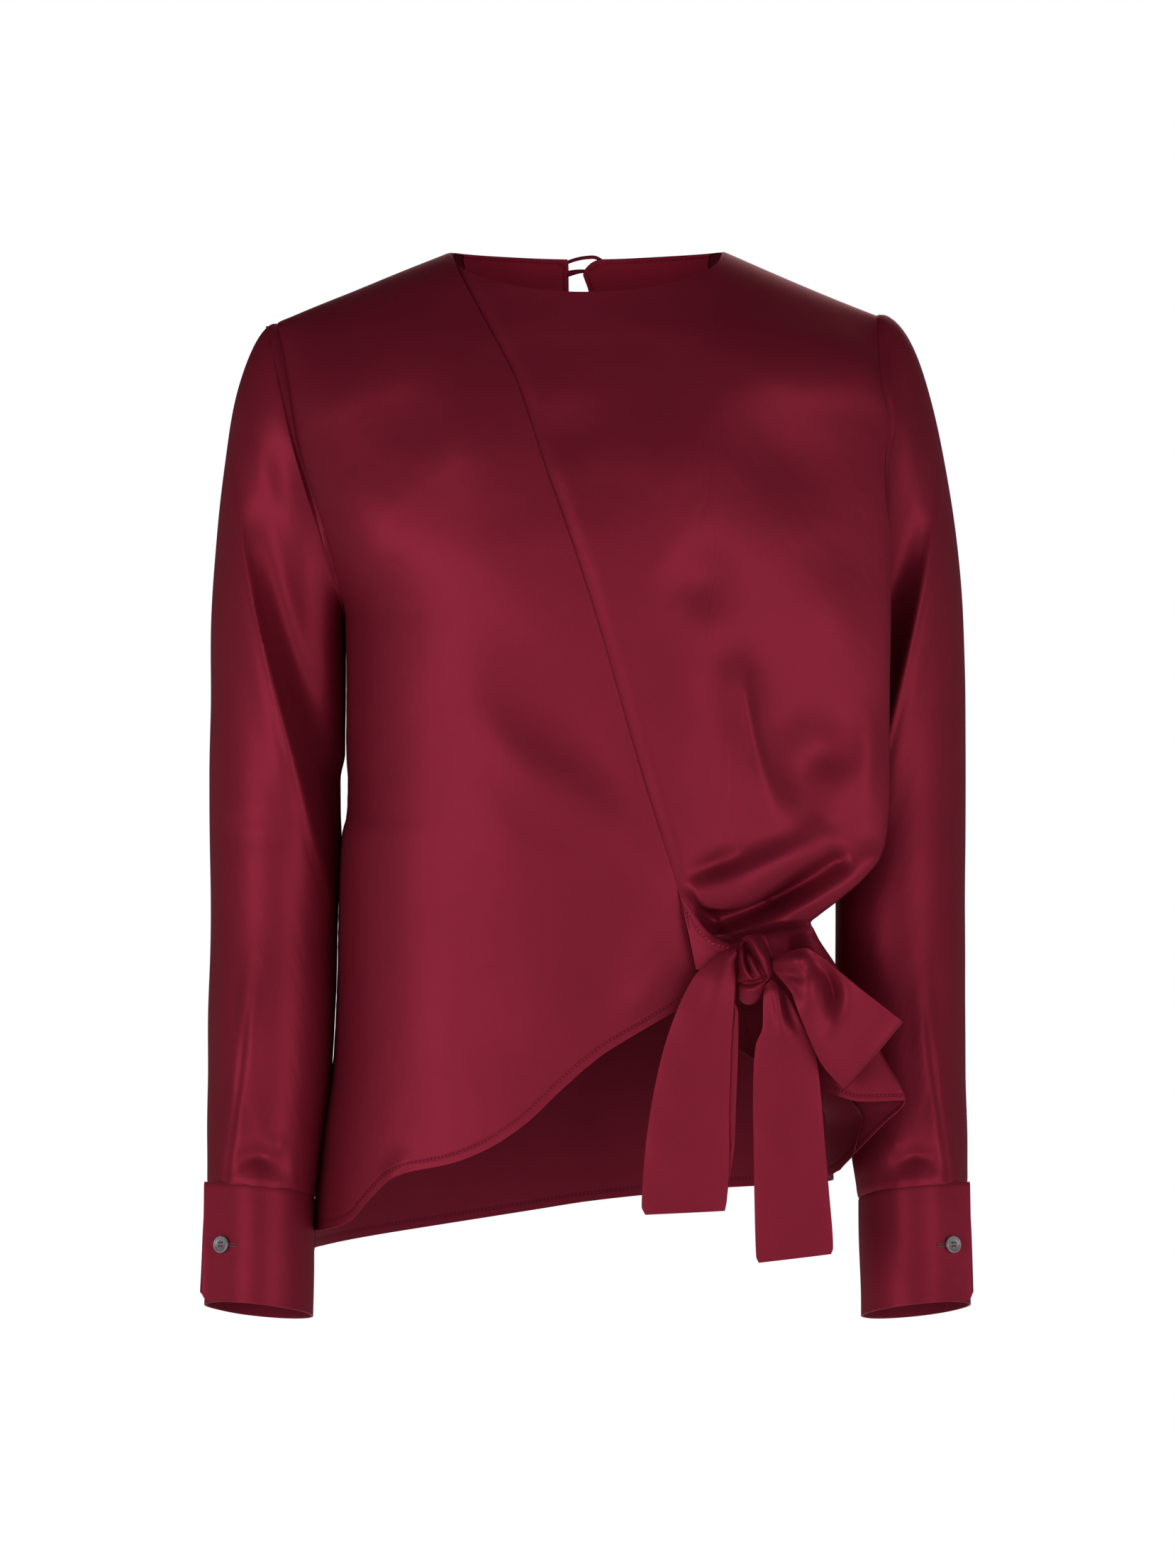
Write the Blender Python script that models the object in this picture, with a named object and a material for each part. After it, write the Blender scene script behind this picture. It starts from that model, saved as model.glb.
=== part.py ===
"""Satin wrap-front blouse with long cuffed sleeves and a knotted side tie.

Sizes are in millimetres and become metres in the meshes. X runs across the front,
Y from the front to the back and Z up. The origin lies midway between the neck points.
The blouse keeps the hollow form that it has when worn, with nobody in it.
"""
import math

import bpy
import numpy as np

MM = 0.001

# Cloth and the spaces between pieces
CLOTH = 1.2
FACING_CLOTH = 0.8
CUFF_CLOTH = 1.8
TIE_CLOTH = 2.0
HALF_SEAM = 0.5
SEAM_REACH = 1.5
LAP = 2.3
UNDERLAP = 12.0

# Neck and shoulders
NECK_HALF = 90.0
NECK_DROP_FRONT = 30.0
NECK_DROP_BACK = 2.0
SHOULDER_FALL = 0.41
SHOULDER_ROUND = 80.0
SHOULDER_LEFT = 205.0
SHOULDER_RIGHT = 193.0
SLIT_LEFT = -12.5
SLIT_RIGHT = 0.5
SLIT_LENGTH = 120.0
SLIT_CLOSING = 0.85
FACING_ROWS = 3
FACING_HALF = 80.0

# Side seams start at the underarm
UNDERARM = -244.0
SQUARENESS = 2.4

# The fold that hangs over the wearer's left side, by its angle round the body
LOBE_ANGLE = -38.0
LOBE_TOP = -42.0
LOBE_GROWTH = 80.0
PINCH = -441.0
RIM_TIP = -559.0
SEAM_AT_HEM = -590.0

# Roll of the drape above the tie
ROLL_STEP = 9.0
PEPLUM_RECOVERY = 0.6

# Sleeves and cuffs
SLEEVE_SEAM = 2.2
DRAPED_SLEEVE_SEAM = 3.4
SLEEVE_COLUMNS_ROUND = 28
SLEEVE_RING = -300.0
SLEEVE_END = -621.3
SLEEVE_RINGS = 12
SLEEVE_HEAD_ROWS = (0, 0.03, 0.09, 0.18, 0.30, 0.46, 0.64, 0.82)
CUFF_TOP = -622.3
CUFF_BOTTOM = -700.0
CUFF_START = 51.0
FLAP_START = 62.0
FLAP_REACH = 23.0
FLAP_CORNER = 6.0
CORNER_STEP = 1.8
FLAP_STEPS = (7.0, 13.0, FLAP_REACH - FLAP_CORNER, FLAP_REACH - CORNER_STEP, FLAP_REACH)
CUFF_COLUMNS = 25
CUFF_ROWS = 5
CUFF_TUCK = 1.7
TUCK_TURN = 45.0
BUTTON_DROP = -655.0

# Buttons, with their profiles by the share of the radius and the height
CUFF_BUTTON = 11.5
BUTTON_THICK = 2.4
BUTTON_HOLE = 1.3
HOLE_OFFSET = 1.15
BUTTON_COLUMN = 25
CUFF_BUTTON_CLEAR = 0.4
CUFF_BUTTON_PROFILE = (
    (0.80, 0.0), (0.97, 0.7), (1.00, 1.3), (0.97, 2.0), (0.88, BUTTON_THICK),
    (0.74, BUTTON_THICK), (0.64, BUTTON_THICK - 0.6),
)
NECK_BUTTON = 9.0
NECK_BUTTON_X = 9.0
NECK_BUTTON_Z = -9.0
NECK_BUTTON_CLEAR = 0.35
NECK_BUTTON_PROFILE = (
    (0.289, 0.0), (0.289, 2.9), (0.80, 3.2), (1.00, 4.0), (0.90, 5.0), (0.55, 5.6),
)

# Cord loop round the neck button: x, z and how far it stands off the back
CORD = 1.8
CORD_SIDES = 8
LOOP_ROUTE = (
    (-12.0, -4.6, -0.6), (-9.0, -4.4, 0.4), (-4.0, -4.4, 1.6), (2.0, -4.6, 1.9),
    (8.0, -5.9, 1.9), (11.4, -7.3, 1.9), (12.1, -9.0, 1.9), (11.4, -10.7, 1.9),
    (8.0, -12.1, 1.9), (2.0, -12.6, 1.9), (-4.0, -12.4, 1.6), (-9.0, -12.2, 0.4),
    (-12.0, -12.2, -0.6),
)

SATIN = (0.180, 0.012, 0.030)
SATIN_SHADE = (0.130, 0.008, 0.020)
HORN = (0.125, 0.110, 0.115)


def smooth_curve(keys, values, where):
    """Cubic through the values that never overshoots them."""
    where = np.clip(np.asarray(where, dtype=float), keys[0], keys[-1])
    step = np.diff(keys)
    slope = np.diff(values) / step
    tangent = np.zeros(len(keys))
    tangent[0], tangent[-1] = slope[0], slope[-1]
    for k in range(1, len(keys) - 1):
        before, after = slope[k - 1], slope[k]
        if before * after > 0:
            tangent[k] = 2 * before * after / (before + after)
    k = np.clip(np.searchsorted(keys, where) - 1, 0, len(step) - 1)
    u = (where - keys[k]) / step[k]
    return ((1 + 2 * u) * (1 - u) ** 2 * values[k] + u * (1 - u) ** 2 * step[k] * tangent[k]
            + u * u * (3 - 2 * u) * values[k + 1] + u * u * (u - 1) * step[k] * tangent[k + 1])


class Table:
    """Rows of named numbers, read as smooth curves along the first column."""

    def __init__(self, columns, rows):
        ordered = np.array(sorted(rows), dtype=float)
        self.keys = ordered[:, 0]
        self.columns = {name: ordered[:, place] for place, name in enumerate(columns)}

    def at(self, name, where):
        return smooth_curve(self.keys, self.columns[name], where)


def smooth_step(x):
    x = np.clip(x, 0.0, 1.0)
    return x * x * (3 - 2 * x)


# Half widths and depths of the body at each height
BODY = Table(("z", "left", "right", "front", "back"), (
    (40, 212, 203, 60, 64),
    (0, 212, 203, 62, 66),
    (-30, 212, 203, 68, 80),
    (-60, 210, 202, 82, 93),
    (-100, 205, 200, 101, 104),
    (-150, 196, 192, 116, 111),
    (-200, 183, 181, 125, 112),
    (-244, 161.5, 165, 127, 109),
    (-300, 159.5, 163, 124, 105),
    (-350, 159.5, 162, 121, 102),
    (-400, 162.5, 157, 119, 101),
    (-444, 165, 143, 116, 103),
    (-475, 166, 147, 114, 105),
    (-530, 167.5, 157, 112, 109),
    (-590, 174.5, 163, 112, 113),
    (-640, 179, 165, 112, 116),
    (-670, 181, 166, 112, 117),
))

# Rim of the hanging side fold: it swings out over the sleeve, pinches in at the tie
# and flares again at the hem
LOBE = Table(("z", "x", "y", "spread"), (
    (-42, 197, -40, 15),
    (-105, 194, -48, 15),
    (-165, 196, -59, 16),
    (-240, 196.5, -66, 16),
    (-350, 196.5, -70, 15),
    (-385, 194.5, -73, 14),
    (-400, 191, -77, 13),
    (-415, 180, -81, 12),
    (-430, 164, -85, 12),
    (-444, 145, -88, 12),
    (-455, 151.5, -90, 10),
    (-471, 162, -92, 9),
    (-500, 176, -95, 9),
    (-530, 192, -99, 9),
    (-559, 207.5, -102, 9),
    (-610, 222, -106, 9),
    (-670, 226, -110, 10),
))

# Side seam on the wearer's left, which runs round to the flared rim at the hem
LEFT_SIDE_SEAM = Table(("z", "angle"), (
    (-244, 0), (-300, -1), (-380, -8), (-444, -22), (-480, -27), (-520, -29), (-670, -30),
))

# Where the sleeves are sewn in, seen from the front
ARMHOLE_RIGHT_ARM = Table(("z", "x"), (
    (-49, 205), (-64, 201.5), (-89, 197), (-125, 190.5), (-157, 181.5),
    (-187, 172.5), (-208, 167.5), (-228, 163), (-244, 161.4),
))
ARMHOLE_LEFT_BACK = Table(("z", "x"), (
    (-42, 193), (-80, 186), (-125, 178), (-160, 172), (-200, 167), (-228, 165), (-244, 164.8),
))
LEFT_ARMHOLE_TURN = -165.0
ARMHOLE_STEPS = 9

# Free edge of the front that lies on top, and of the layer below it as far as it shows
WRAP_EDGE = Table(("z", "x"), (
    (0, -90), (-7, -88), (-36, -74), (-66, -58), (-87, -47.5), (-112, -38.7), (-145, -28),
    (-190, -12), (-244, 5.5), (-350, 36.4), (-399, 52), (-421, 59), (-438, 63.2),
    (-474, 71), (-491, 79.4),
))
UNDER_EDGE = Table(("z", "x"), (
    (0, -90), (-7, -88), (-36, -74), (-66, -58), (-87, -47.5), (-112, -38.7), (-145, -28),
    (-190, -12), (-244, 5.5), (-350, 36.4), (-399, 52), (-421, 59.5), (-441, 72.3),
    (-453, 83), (-461, 92),
))

# Hems, by the distance from the middle
FRONT_HEM = Table(("x", "z"), (
    (-180, -648), (-167, -644.5), (-155, -638.5), (-147, -629), (-138.5, -620), (-130, -612),
    (-117, -606.5), (-89.5, -600.5), (-66.5, -591.5), (-41, -575), (-16, -551.5),
    (9, -530), (34, -514.5), (58, -501), (79.4, -491),
))
PEPLUM_HEM = Table(("x", "z"), (
    (99.4, -526.8), (108.6, -532.8), (126, -541.6), (153, -552.7), (165, -557),
    (178, -560), (194, -559.6), (207.5, -559),
))
BACK_HEM = Table(("x", "z"), (
    (-181, -664), (-149, -657.6), (-107, -651), (-69, -645.6), (-34, -640.4), (1, -635),
    (35, -631), (98, -624.6), (163, -617.4),
))

# Heights at which the seams and the covered edge are set out
SIDE_SEAM_FRONT = (-330, -430, -540, -648)
SIDE_SEAM_BACK = (-340, -440, -540, -664)
LEFT_SEAM_HEIGHTS = (-290, -340, -380, -400, -420, -444, -460, -480, -520, -560, SEAM_AT_HEM)
UNDER_HEIGHTS = (-30, -60, -100, -150, -200, -250, -300, -350, -390, -415, -430, -445)
SEAM_TURN = 0.5

# Free edge of the part below the roll by x and z, and the back's hem by angle and height where
# it runs round to the flared rim
PEPLUM_OPENING = ((88, -465), (97, -475), (99.4, -492), (99.4, -526.8))
BACK_HEM_CORNER = [(14.0, -618.0), (-4.0, -614.0), (-18.0, -609.0), (-25.0, -600.0)]

# Heights of the rows of the draped front at its free edge and at the rim; the last ones
# follow the rolls above the tie
DRAPE_ROWS = Table(("row", "edge_z", "rim_z"), (
    (0, 0, -42), (1, -10, -50), (2, -24, -59), (3, -42, -70), (4, -66, -83), (5, -94, -98),
    (6, -126, -117), (7, -160, -140), (8, -200, -165), (9, -240, -205), (10, -280, -245),
    (11, -316, -285), (12, -348, -317), (13, -376, -340), (14, -398, -357), (15, -411, -368),
    (16, -421, -377), (17, -429, -384), (18, -437, -390), (19, -443.5, -396), (20, -447.5, -403),
    (21, -450.5, -413), (22, -453, -426), (23, -455, -441),
))
ROW_BEND = 1.35

# Columns and rows of the panels' grids, crowded towards the shoulders
WRAP_COLUMNS = 15
DRAPE_COLUMNS = 17
BEHIND_COLUMNS = 6
BACK_COLUMNS = 26
PANEL_ROWS = 21
ROW_CROWD = 1.45
PEPLUM_ROWS = (0.04, 0.085, 0.15, 0.24, 0.36, 0.50, 0.66, 0.83, 1.0)

# Lower edge of the roll above the tie
ROLL_STEPS = np.linspace(74, 140, 9)
ROLL_EDGE = Table(("x", "z"), (
    (60, -440), (74, -455), (84, -453), (111.5, -446), (130, -442.5), (146, -441), (200, -441),
))
ROLL_TUCK = Table(("x", "depth"), (
    (60, 0), (80, 14), (95, 25), (128, 24), (146, 9), (165, 0),
))

# Ridges and, with a height below nought, troughs. Each is a bent line from x0, z0 past x1, z1
# to x2, z2, then its height, half width and the share of its height at the start and the end
DRAPE_FOLDS = (
    (60, -421, 98, -422, 152, -388, 11, 11, 0.35, 0.30),
    (84, -448, 112, -432, 165, -396, -11, 9.5, 0.60, 0.45),
    (67, -427, 77, -438, 84, -447, -8, 5, 0.40, 0.70),
    (86, -449, 130, -440, 186, -400, 6, 6, 0.50, 0.60),
    (66, -414, 84, -406, 106, -396, -5, 7, 0.50, 0.00),
    (98, -240, 97, -320, 121, -370, 4, 10, 0.00, 0.50),
    (116, -315, 136, -348, 154, -380, -6, 15, 0.00, 0.40),
    (128, -250, 125, -280, 122, -310, 4, 18, 0.00, 0.00),
    (64, -220, 78, -245, 82, -275, -4, 16, 0.00, 0.00),
    (185, -290, 184, -330, 184, -375, 3, 9, 0.00, 0.30),
)
WRAP_FOLDS = (
    (-70, -240, 0, -310, 52, -418, -4, 16, 0.00, 0.30),
    (-95, -290, -20, -350, 50, -425, 4, 18, 0.00, 0.30),
    (20, -520, 40, -480, 64, -445, -4, 14, 0.00, 0.40),
    (-140, -200, -125, -205, -112, -198, -2, 8, 0.20, 0.00),
    (-128, -606, -122, -600, -112, -592, 4, 7, 1.00, 0.00),
)
SLEEVE_FOLDS = (
    (238, -140, 219, -255, 166, -440, 8, 13, 0.00, 0.35),
    (236, -612, 224, -540, 219, -450, 5, 9, 0.70, 0.00),
    (200, -592, 212, -604, 222, -602, -5, 10, 0.30, 0.30),
    (214, -110, 196, -150, 188, -205, -4, 10, 0.00, 0.20),
)

# Sleeve rings: widths from the middle of the body, depth, and how far a ring leans
SLEEVE_COLUMNS = ("z", "outer", "inner", "centre_y", "half_depth", "lean", "cant")
SLEEVE_RIGHT_ARM = Table(SLEEVE_COLUMNS, (
    (-300, 250.3, 164.5, 5, 56, 0.00, 0.00),
    (-350, 250.5, 164.5, 5, 56, 0.00, 0.00),
    (-400, 250.5, 166.0, 3, 55, 0.02, 0.00),
    (-440, 250.5, 168.5, 1, 54, 0.04, 0.00),
    (-500, 250.7, 170.5, -5, 53, 0.07, 0.00),
    (-545, 250.9, 171.5, -10, 51, 0.11, 0.03),
    (-592, 251.5, 177.0, -17, 49, 0.14, 0.07),
    (-622, 251.5, 179.4, -22, 46, 0.15, 0.10),
    (-704, 252.5, 181.0, -34, 46, 0.15, 0.10),
))
SLEEVE_LEFT_ARM = Table(SLEEVE_COLUMNS, (
    (-300, 250.3, 166.0, 22, 54, 0.00, 0.00),
    (-350, 250.5, 165.0, 18, 54, 0.00, 0.00),
    (-400, 250.5, 164.5, 12, 54, 0.02, 0.00),
    (-440, 250.5, 164.5, 7, 53, 0.04, 0.00),
    (-500, 250.7, 165.5, -1, 52, 0.07, 0.00),
    (-545, 250.9, 169.5, -8, 51, 0.11, 0.03),
    (-592, 251.5, 175.0, -16, 49, 0.14, 0.07),
    (-622, 251.5, 179.0, -22, 46, 0.15, 0.10),
    (-704, 252.5, 180.5, -34, 46, 0.15, 0.10),
))

# The strap, the two hanging ends and the loop of the tie, edge by edge
RIBBON_COLUMNS = ("along", "x0", "z0", "x1", "z1", "y")
STRAP = Table(RIBBON_COLUMNS, (
    (0, 59.6, -421.5, 71.0, -474.0, -112.0),
    (30, 71.5, -441.0, 80.5, -471.0, -114.5),
    (60, 83.0, -453.0, 89.0, -468.5, -115.5),
    (100, 97.4, -459.5, 97.8, -467.0, -115.5),
))
TAIL_RIGHT = Table(RIBBON_COLUMNS, (
    (0, 96.8, -459.6, 96.8, -466.0, -119.2),
    (6, 89.0, -461.5, 95.6, -470.8, -121.5),
    (12, 79.2, -467.6, 95.6, -478.2, -123.5),
    (19, 69.5, -478.2, 95.4, -487.4, -124.5),
    (29, 60.1, -496.0, 94.6, -502.1, -124.5),
    (44, 49.6, -525.4, 93.0, -529.7, -123.0),
    (63, 41.1, -565.5, 92.1, -566.5, -121.0),
    (80, 37.0, -599.2, 91.8, -598.8, -120.0),
    (94, 35.4, -627.6, 90.5, -624.5, -119.0),
    (97, 37.7, -633.0, 89.3, -630.5, -119.0),
))
TAIL_LEFT = Table(RIBBON_COLUMNS, (
    (0, 115.6, -485.2, 119.8, -480.1, -120.7),
    (6, 114.5, -491.5, 127.5, -487.0, -123.5),
    (15, 114.0, -509.9, 139.0, -509.0, -124.0),
    (25, 109.5, -523.0, 147.3, -527.0, -122.5),
    (35, 108.0, -540.0, 150.1, -539.8, -121.0),
    (48, 107.7, -561.9, 152.4, -561.5, -119.5),
    (64, 108.2, -589.6, 154.7, -589.6, -118.5),
    (80, 108.6, -617.2, 157.0, -617.2, -118.0),
    (97, 109.8, -660.0, 159.8, -654.5, -117.5),
    (100, 111.5, -664.3, 158.5, -658.6, -117.5),
))
BOW_LOOP = Table(RIBBON_COLUMNS, (
    (0, 120.8, -474.0, 120.8, -467.0, -120.9),
    (5, 127.4, -481.5, 129.5, -462.5, -128.0),
    (12, 132.5, -489.0, 141.0, -459.5, -133.0),
    (20, 137.5, -502.0, 152.5, -465.0, -135.0),
    (28, 143.5, -516.7, 163.0, -474.0, -133.0),
    (36, 151.3, -533.7, 176.1, -484.9, -130.0),
    (44, 159.1, -543.3, 190.4, -496.0, -127.5),
    (50, 166.3, -550.5, 203.6, -506.5, -124.8),
    (52, 167.1, -551.2, 204.6, -507.5, -121.0),
    (54, 166.3, -550.5, 203.6, -506.5, -117.2),
    (64, 156.0, -538.0, 185.0, -493.0, -114.0),
    (76, 143.0, -513.0, 162.0, -476.0, -112.5),
    (88, 132.0, -490.0, 143.0, -467.0, -112.0),
    (100, 124.0, -478.0, 126.0, -470.0, -112.0),
))
LOOP_FOLDS = (
    (149, -470, 163, -486, 152, -510, -4, 6, 0.30, 0.00),
    (124, -470, 136, -468, 148, -466, 3, 5, 0.50, 0.00),
    (124, -473, 134, -477, 145, -481, -3, 4, 0.60, 0.00),
)

LOOP_TURN = 52.0

# The knot, ring by ring from its top to its bottom
KNOT = Table(("z", "x", "half_x", "half_y"), (
    (-449.5, 110, 3, 3),
    (-451.5, 109.5, 7, 6),
    (-457, 109, 9.8, 9.5),
    (-466, 109.3, 12, 12.5),
    (-475, 109, 12.2, 13),
    (-484, 107.2, 10.2, 11.5),
    (-491, 106, 8.5, 9),
    (-494.5, 105.5, 5, 5),
))
KNOT_Y = -115.0
KNOT_TURNS = 3
KNOT_GROOVE = 1.4
KNOT_TWIST = 0.09
KNOT_RINGS = 15
KNOT_SIDES = 22


def fold_height(folds, x, z):
    """Height of a set of soft folds over points of the front view."""
    total = np.zeros(np.broadcast(x, z).shape)
    pieces = 14
    share = np.linspace(0, 1, pieces + 1)
    for x0, z0, x1, z1, x2, z2, height, width, start, end in folds:
        line_x = (1 - share) ** 2 * x0 + 2 * share * (1 - share) * x1 + share ** 2 * x2
        line_z = (1 - share) ** 2 * z0 + 2 * share * (1 - share) * z1 + share ** 2 * z2
        nearest = np.full(total.shape, 1e9)
        place = np.zeros(total.shape)
        for k in range(pieces):
            run_x, run_z = line_x[k + 1] - line_x[k], line_z[k + 1] - line_z[k]
            length = run_x * run_x + run_z * run_z
            along = np.clip(((x - line_x[k]) * run_x + (z - line_z[k]) * run_z) / length, 0, 1)
            away = np.hypot(x - line_x[k] - along * run_x, z - line_z[k] - along * run_z)
            closer = away < nearest
            nearest = np.where(closer, away, nearest)
            place = np.where(closer, share[k] + along / pieces, place)
        rise = np.where(place < 0.5, start + (1 - start) * smooth_step(place * 2),
                        end + (1 - end) * smooth_step((1 - place) * 2))
        total += height * rise * np.exp(-(nearest / width) ** 2)
    return total


def power(value, exponent):
    return np.sign(value) * np.abs(value) ** exponent


def shoulder_line(x):
    return -(np.abs(x) - NECK_HALF) * SHOULDER_FALL


def plain_body(angle, z):
    """Body of the blouse without its hanging side fold."""
    turn = np.radians(angle)
    across, deep = power(np.cos(turn), 2 / SQUARENESS), power(np.sin(turn), 2 / SQUARENESS)
    x = across * np.where(across > 0, BODY.at("right", z), BODY.at("left", z))
    below = np.clip(shoulder_line(x) - z, 0, SHOULDER_ROUND) / SHOULDER_ROUND
    rounding = np.sqrt(1 - (1 - below) ** 2)
    y = deep * rounding * np.where(deep > 0, BODY.at("back", z), BODY.at("front", z))
    return x, y


def body(angle, z):
    """Outer surface of the blouse's body; angle -90 is the front and 90 the back."""
    angle, z = np.broadcast_arrays(np.asarray(angle, dtype=float), np.asarray(z, dtype=float))
    x, y = plain_body(angle, z)
    base_x, base_y = plain_body(np.full(z.shape, LOBE_ANGLE), z)
    grown = smooth_step((LOBE_TOP - z) / LOBE_GROWTH)
    pull = grown * np.exp(-((angle - LOBE_ANGLE) / LOBE.at("spread", z)) ** 2)
    x = x + pull * (LOBE.at("x", z) - base_x)
    y = y + pull * (LOBE.at("y", z) - base_y)
    return np.stack([x, y, z], axis=-1)


def wrap_form(angle, z):
    """Form of the front that lies on top."""
    point = body(angle, z)
    point[..., 1] -= HALF_SEAM + fold_height(WRAP_FOLDS, point[..., 0], point[..., 2])
    return point


def drape_form(angle, z):
    """Form of the draped front: folds, the roll above the tie and the part below it."""
    point = body(angle, z)
    x, z = point[..., 0], point[..., 2]
    from_edge = x - UNDER_EDGE.at("x", z)
    clear = smooth_step((from_edge - 1) / 10)
    folds = clear * fold_height(DRAPE_FOLDS, x, z) + (1 - clear) * fold_height(WRAP_FOLDS, x, z)
    under_roll = ROLL_EDGE.at("z", x) - z
    tuck = ROLL_TUCK.at("depth", x) * smooth_step(under_roll / ROLL_STEP)
    tuck = tuck * (1 - PEPLUM_RECOVERY * smooth_step((under_roll - 10) / 110))
    before_rim = smooth_step((LOBE_ANGLE + 8 - angle) / 16)
    point[..., 1] += before_rim * (tuck - folds) - HALF_SEAM
    return point


def back_form(angle, z):
    point = body(angle, z)
    point[..., 1] += HALF_SEAM * smooth_step((angle + 12) / 12)
    return point


def unit(vector):
    return vector / np.maximum(np.linalg.norm(vector, axis=-1, keepdims=True), 1e-9)


def form_normal(form, angle, z):
    around = form(angle + 0.4, z) - form(angle - 0.4, z)
    upward = form(angle, z + 1.0) - form(angle, z - 1.0)
    return unit(np.cross(around, upward))


def front_angle(x, z):
    """Angle at which the front reaches a distance x from the middle."""
    turns = np.linspace(-179.5, -4, 700)
    reach = np.maximum.accumulate(body(turns, np.full(turns.shape, float(z)))[..., 0])
    return float(np.interp(x, reach, turns))


def back_angle(x, z):
    turns = np.linspace(180, 0, 700)
    reach = body(turns, np.full(turns.shape, float(z)))[..., 0]
    return float(np.interp(x, reach, turns))


def polyline(points):
    """Curve through angle and height pairs, read by the share of its length."""
    points = np.array(points, dtype=float)
    step = np.hypot(np.diff(points[:, 0]) * 2.2, np.diff(points[:, 1]))
    share = np.concatenate([[0], np.cumsum(step)]) / step.sum()
    return lambda s: np.stack([np.interp(s, share, points[:, 0]),
                               np.interp(s, share, points[:, 1])], axis=-1)


def coons(top, bottom, left, right, across, down):
    """Grid between four edge curves that share their corners. Across and down give the
    shares of its columns and rows, or of each of its points."""
    if down.ndim == 1:
        down = down[:, None]
    u, v = np.broadcast_arrays(across, down)
    t, b, lf, rt = top(u), bottom(u), left(v), right(v)
    u, v = u[..., None], v[..., None]
    corners = ((1 - u) * (1 - v) * top(0.0) + u * (1 - v) * top(1.0)
               + (1 - u) * v * bottom(0.0) + u * v * bottom(1.0))
    return (1 - v) * t + v * b + (1 - u) * lf + u * rt - corners


def spaced(count, crowd=1.0):
    """Steps from nought to one, crowded towards nought where crowd is over one."""
    return np.linspace(0, 1, count + 1) ** crowd


def new_object(name, vertices, faces, material, smooth=True):
    mesh = bpy.data.meshes.new(name)
    mesh.from_pydata([tuple(float(c) * MM for c in v) for v in vertices], [], faces)
    mesh.update()
    if smooth:
        mesh.shade_smooth()
        mesh.set_sharp_from_angle(angle=math.radians(50))
    mesh.materials.append(material)
    piece = bpy.data.objects.new(name, mesh)
    bpy.context.scene.collection.objects.link(piece)
    return piece


def signed_volume(points, faces):
    total = 0.0
    for face in faces:
        for k in range(1, len(face) - 1):
            total += np.dot(points[face[0]], np.cross(points[face[k]], points[face[k + 1]]))
    return total / 6


def wall(name, outer, inner, material, wrap=False, keep=None):
    """One closed cloth wall between an outer and an inner grid of points."""
    rows, columns = outer.shape[:2]
    cells = []
    for j in range(rows - 1):
        for i in range(columns if wrap else columns - 1):
            k = (i + 1) % columns
            if keep is None or keep[j, i]:
                cells.append(((j, i), (j + 1, i), (j + 1, k), (j, k)))
    edges = {(cell[k], cell[(k + 1) % 4]) for cell in cells for k in range(4)}
    index, points = {}, []

    def vertex(layer, place):
        if (layer, place) not in index:
            index[(layer, place)] = len(points)
            points.append((outer if layer else inner)[place])
        return index[(layer, place)]

    faces = []
    for cell in cells:
        for corner in (cell[:3], (cell[0], cell[2], cell[3])):
            faces.append([vertex(1, place) for place in corner])
            faces.append([vertex(0, place) for place in reversed(corner)])
    for start, end in sorted(edges):
        if (end, start) not in edges:
            faces.append([vertex(1, end), vertex(1, start), vertex(0, start), vertex(0, end)])
    if signed_volume(points, faces) < 0:
        faces = [list(reversed(face)) for face in faces]
    return new_object(name, points, faces, material)


def panel(name, form, grid, material, lift=0.0, thick=CLOTH, keep=None):
    """Cloth panel over a form, from its grid of angles and heights; its edges along the
    seams are cut square."""
    angle, z = grid[..., 0], grid[..., 1]
    point, normal = form(angle, z), form_normal(form, angle, z)
    lift = np.broadcast_to(np.asarray(lift, dtype=float), angle.shape)[..., None]
    inner = point + normal * (lift - thick)
    inner[..., 1] = np.where(np.abs(point[..., 1]) < SEAM_REACH, point[..., 1], inner[..., 1])
    return wall(name, point + normal * lift, inner, material, keep=keep)


def grid_normal(points, wrap):
    if wrap:
        across = np.roll(points, -1, axis=1) - np.roll(points, 1, axis=1)
    else:
        across = np.gradient(points, axis=1)
    return unit(np.cross(np.gradient(points, axis=0), across))


def tube(name, path, radius, sides, material):
    """Round cord with flat ends along a path."""
    path = np.array(path, dtype=float)
    heading = unit(np.gradient(path, axis=0))
    aside = unit(np.cross(heading, np.array([0.0, 0.0, 1.0]) + heading * 0.01))
    over = np.cross(aside, heading)
    turns = np.linspace(0, 2 * math.pi, sides, endpoint=False)
    rings = path[:, None] + radius * (np.cos(turns)[None, :, None] * aside[:, None]
                                      + np.sin(turns)[None, :, None] * over[:, None])
    return stack_of_rings(name, rings, material)


def stack_of_rings(name, rings, material):
    """Solid through a stack of rings, closed by a face at each end."""
    count, sides = rings.shape[:2]
    points = list(rings.reshape(-1, 3))
    faces = [list(reversed(range(sides))), list(range((count - 1) * sides, count * sides))]
    for j in range(count - 1):
        for i in range(sides):
            k = (i + 1) % sides
            faces.append([j * sides + i, j * sides + k, (j + 1) * sides + k, (j + 1) * sides + i])
    if signed_volume(points, faces) < 0:
        faces = [list(reversed(face)) for face in faces]
    return new_object(name, points, faces, material)


def make_material(name, colour, roughness, metallic=0.0):
    material = bpy.data.materials.new(name)
    material.use_nodes = True
    shader = material.node_tree.nodes["Principled BSDF"]
    shader.inputs["Base Color"].default_value = (*colour, 1.0)
    shader.inputs["Roughness"].default_value = roughness
    shader.inputs["Metallic"].default_value = metallic
    material.diffuse_color = (*colour, 1.0)
    return material


def armhole_height(share, shoulder):
    top = float(shoulder_line(shoulder))
    return top + (UNDERARM - top) * (1 - math.cos(math.pi * share)) / 2


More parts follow.
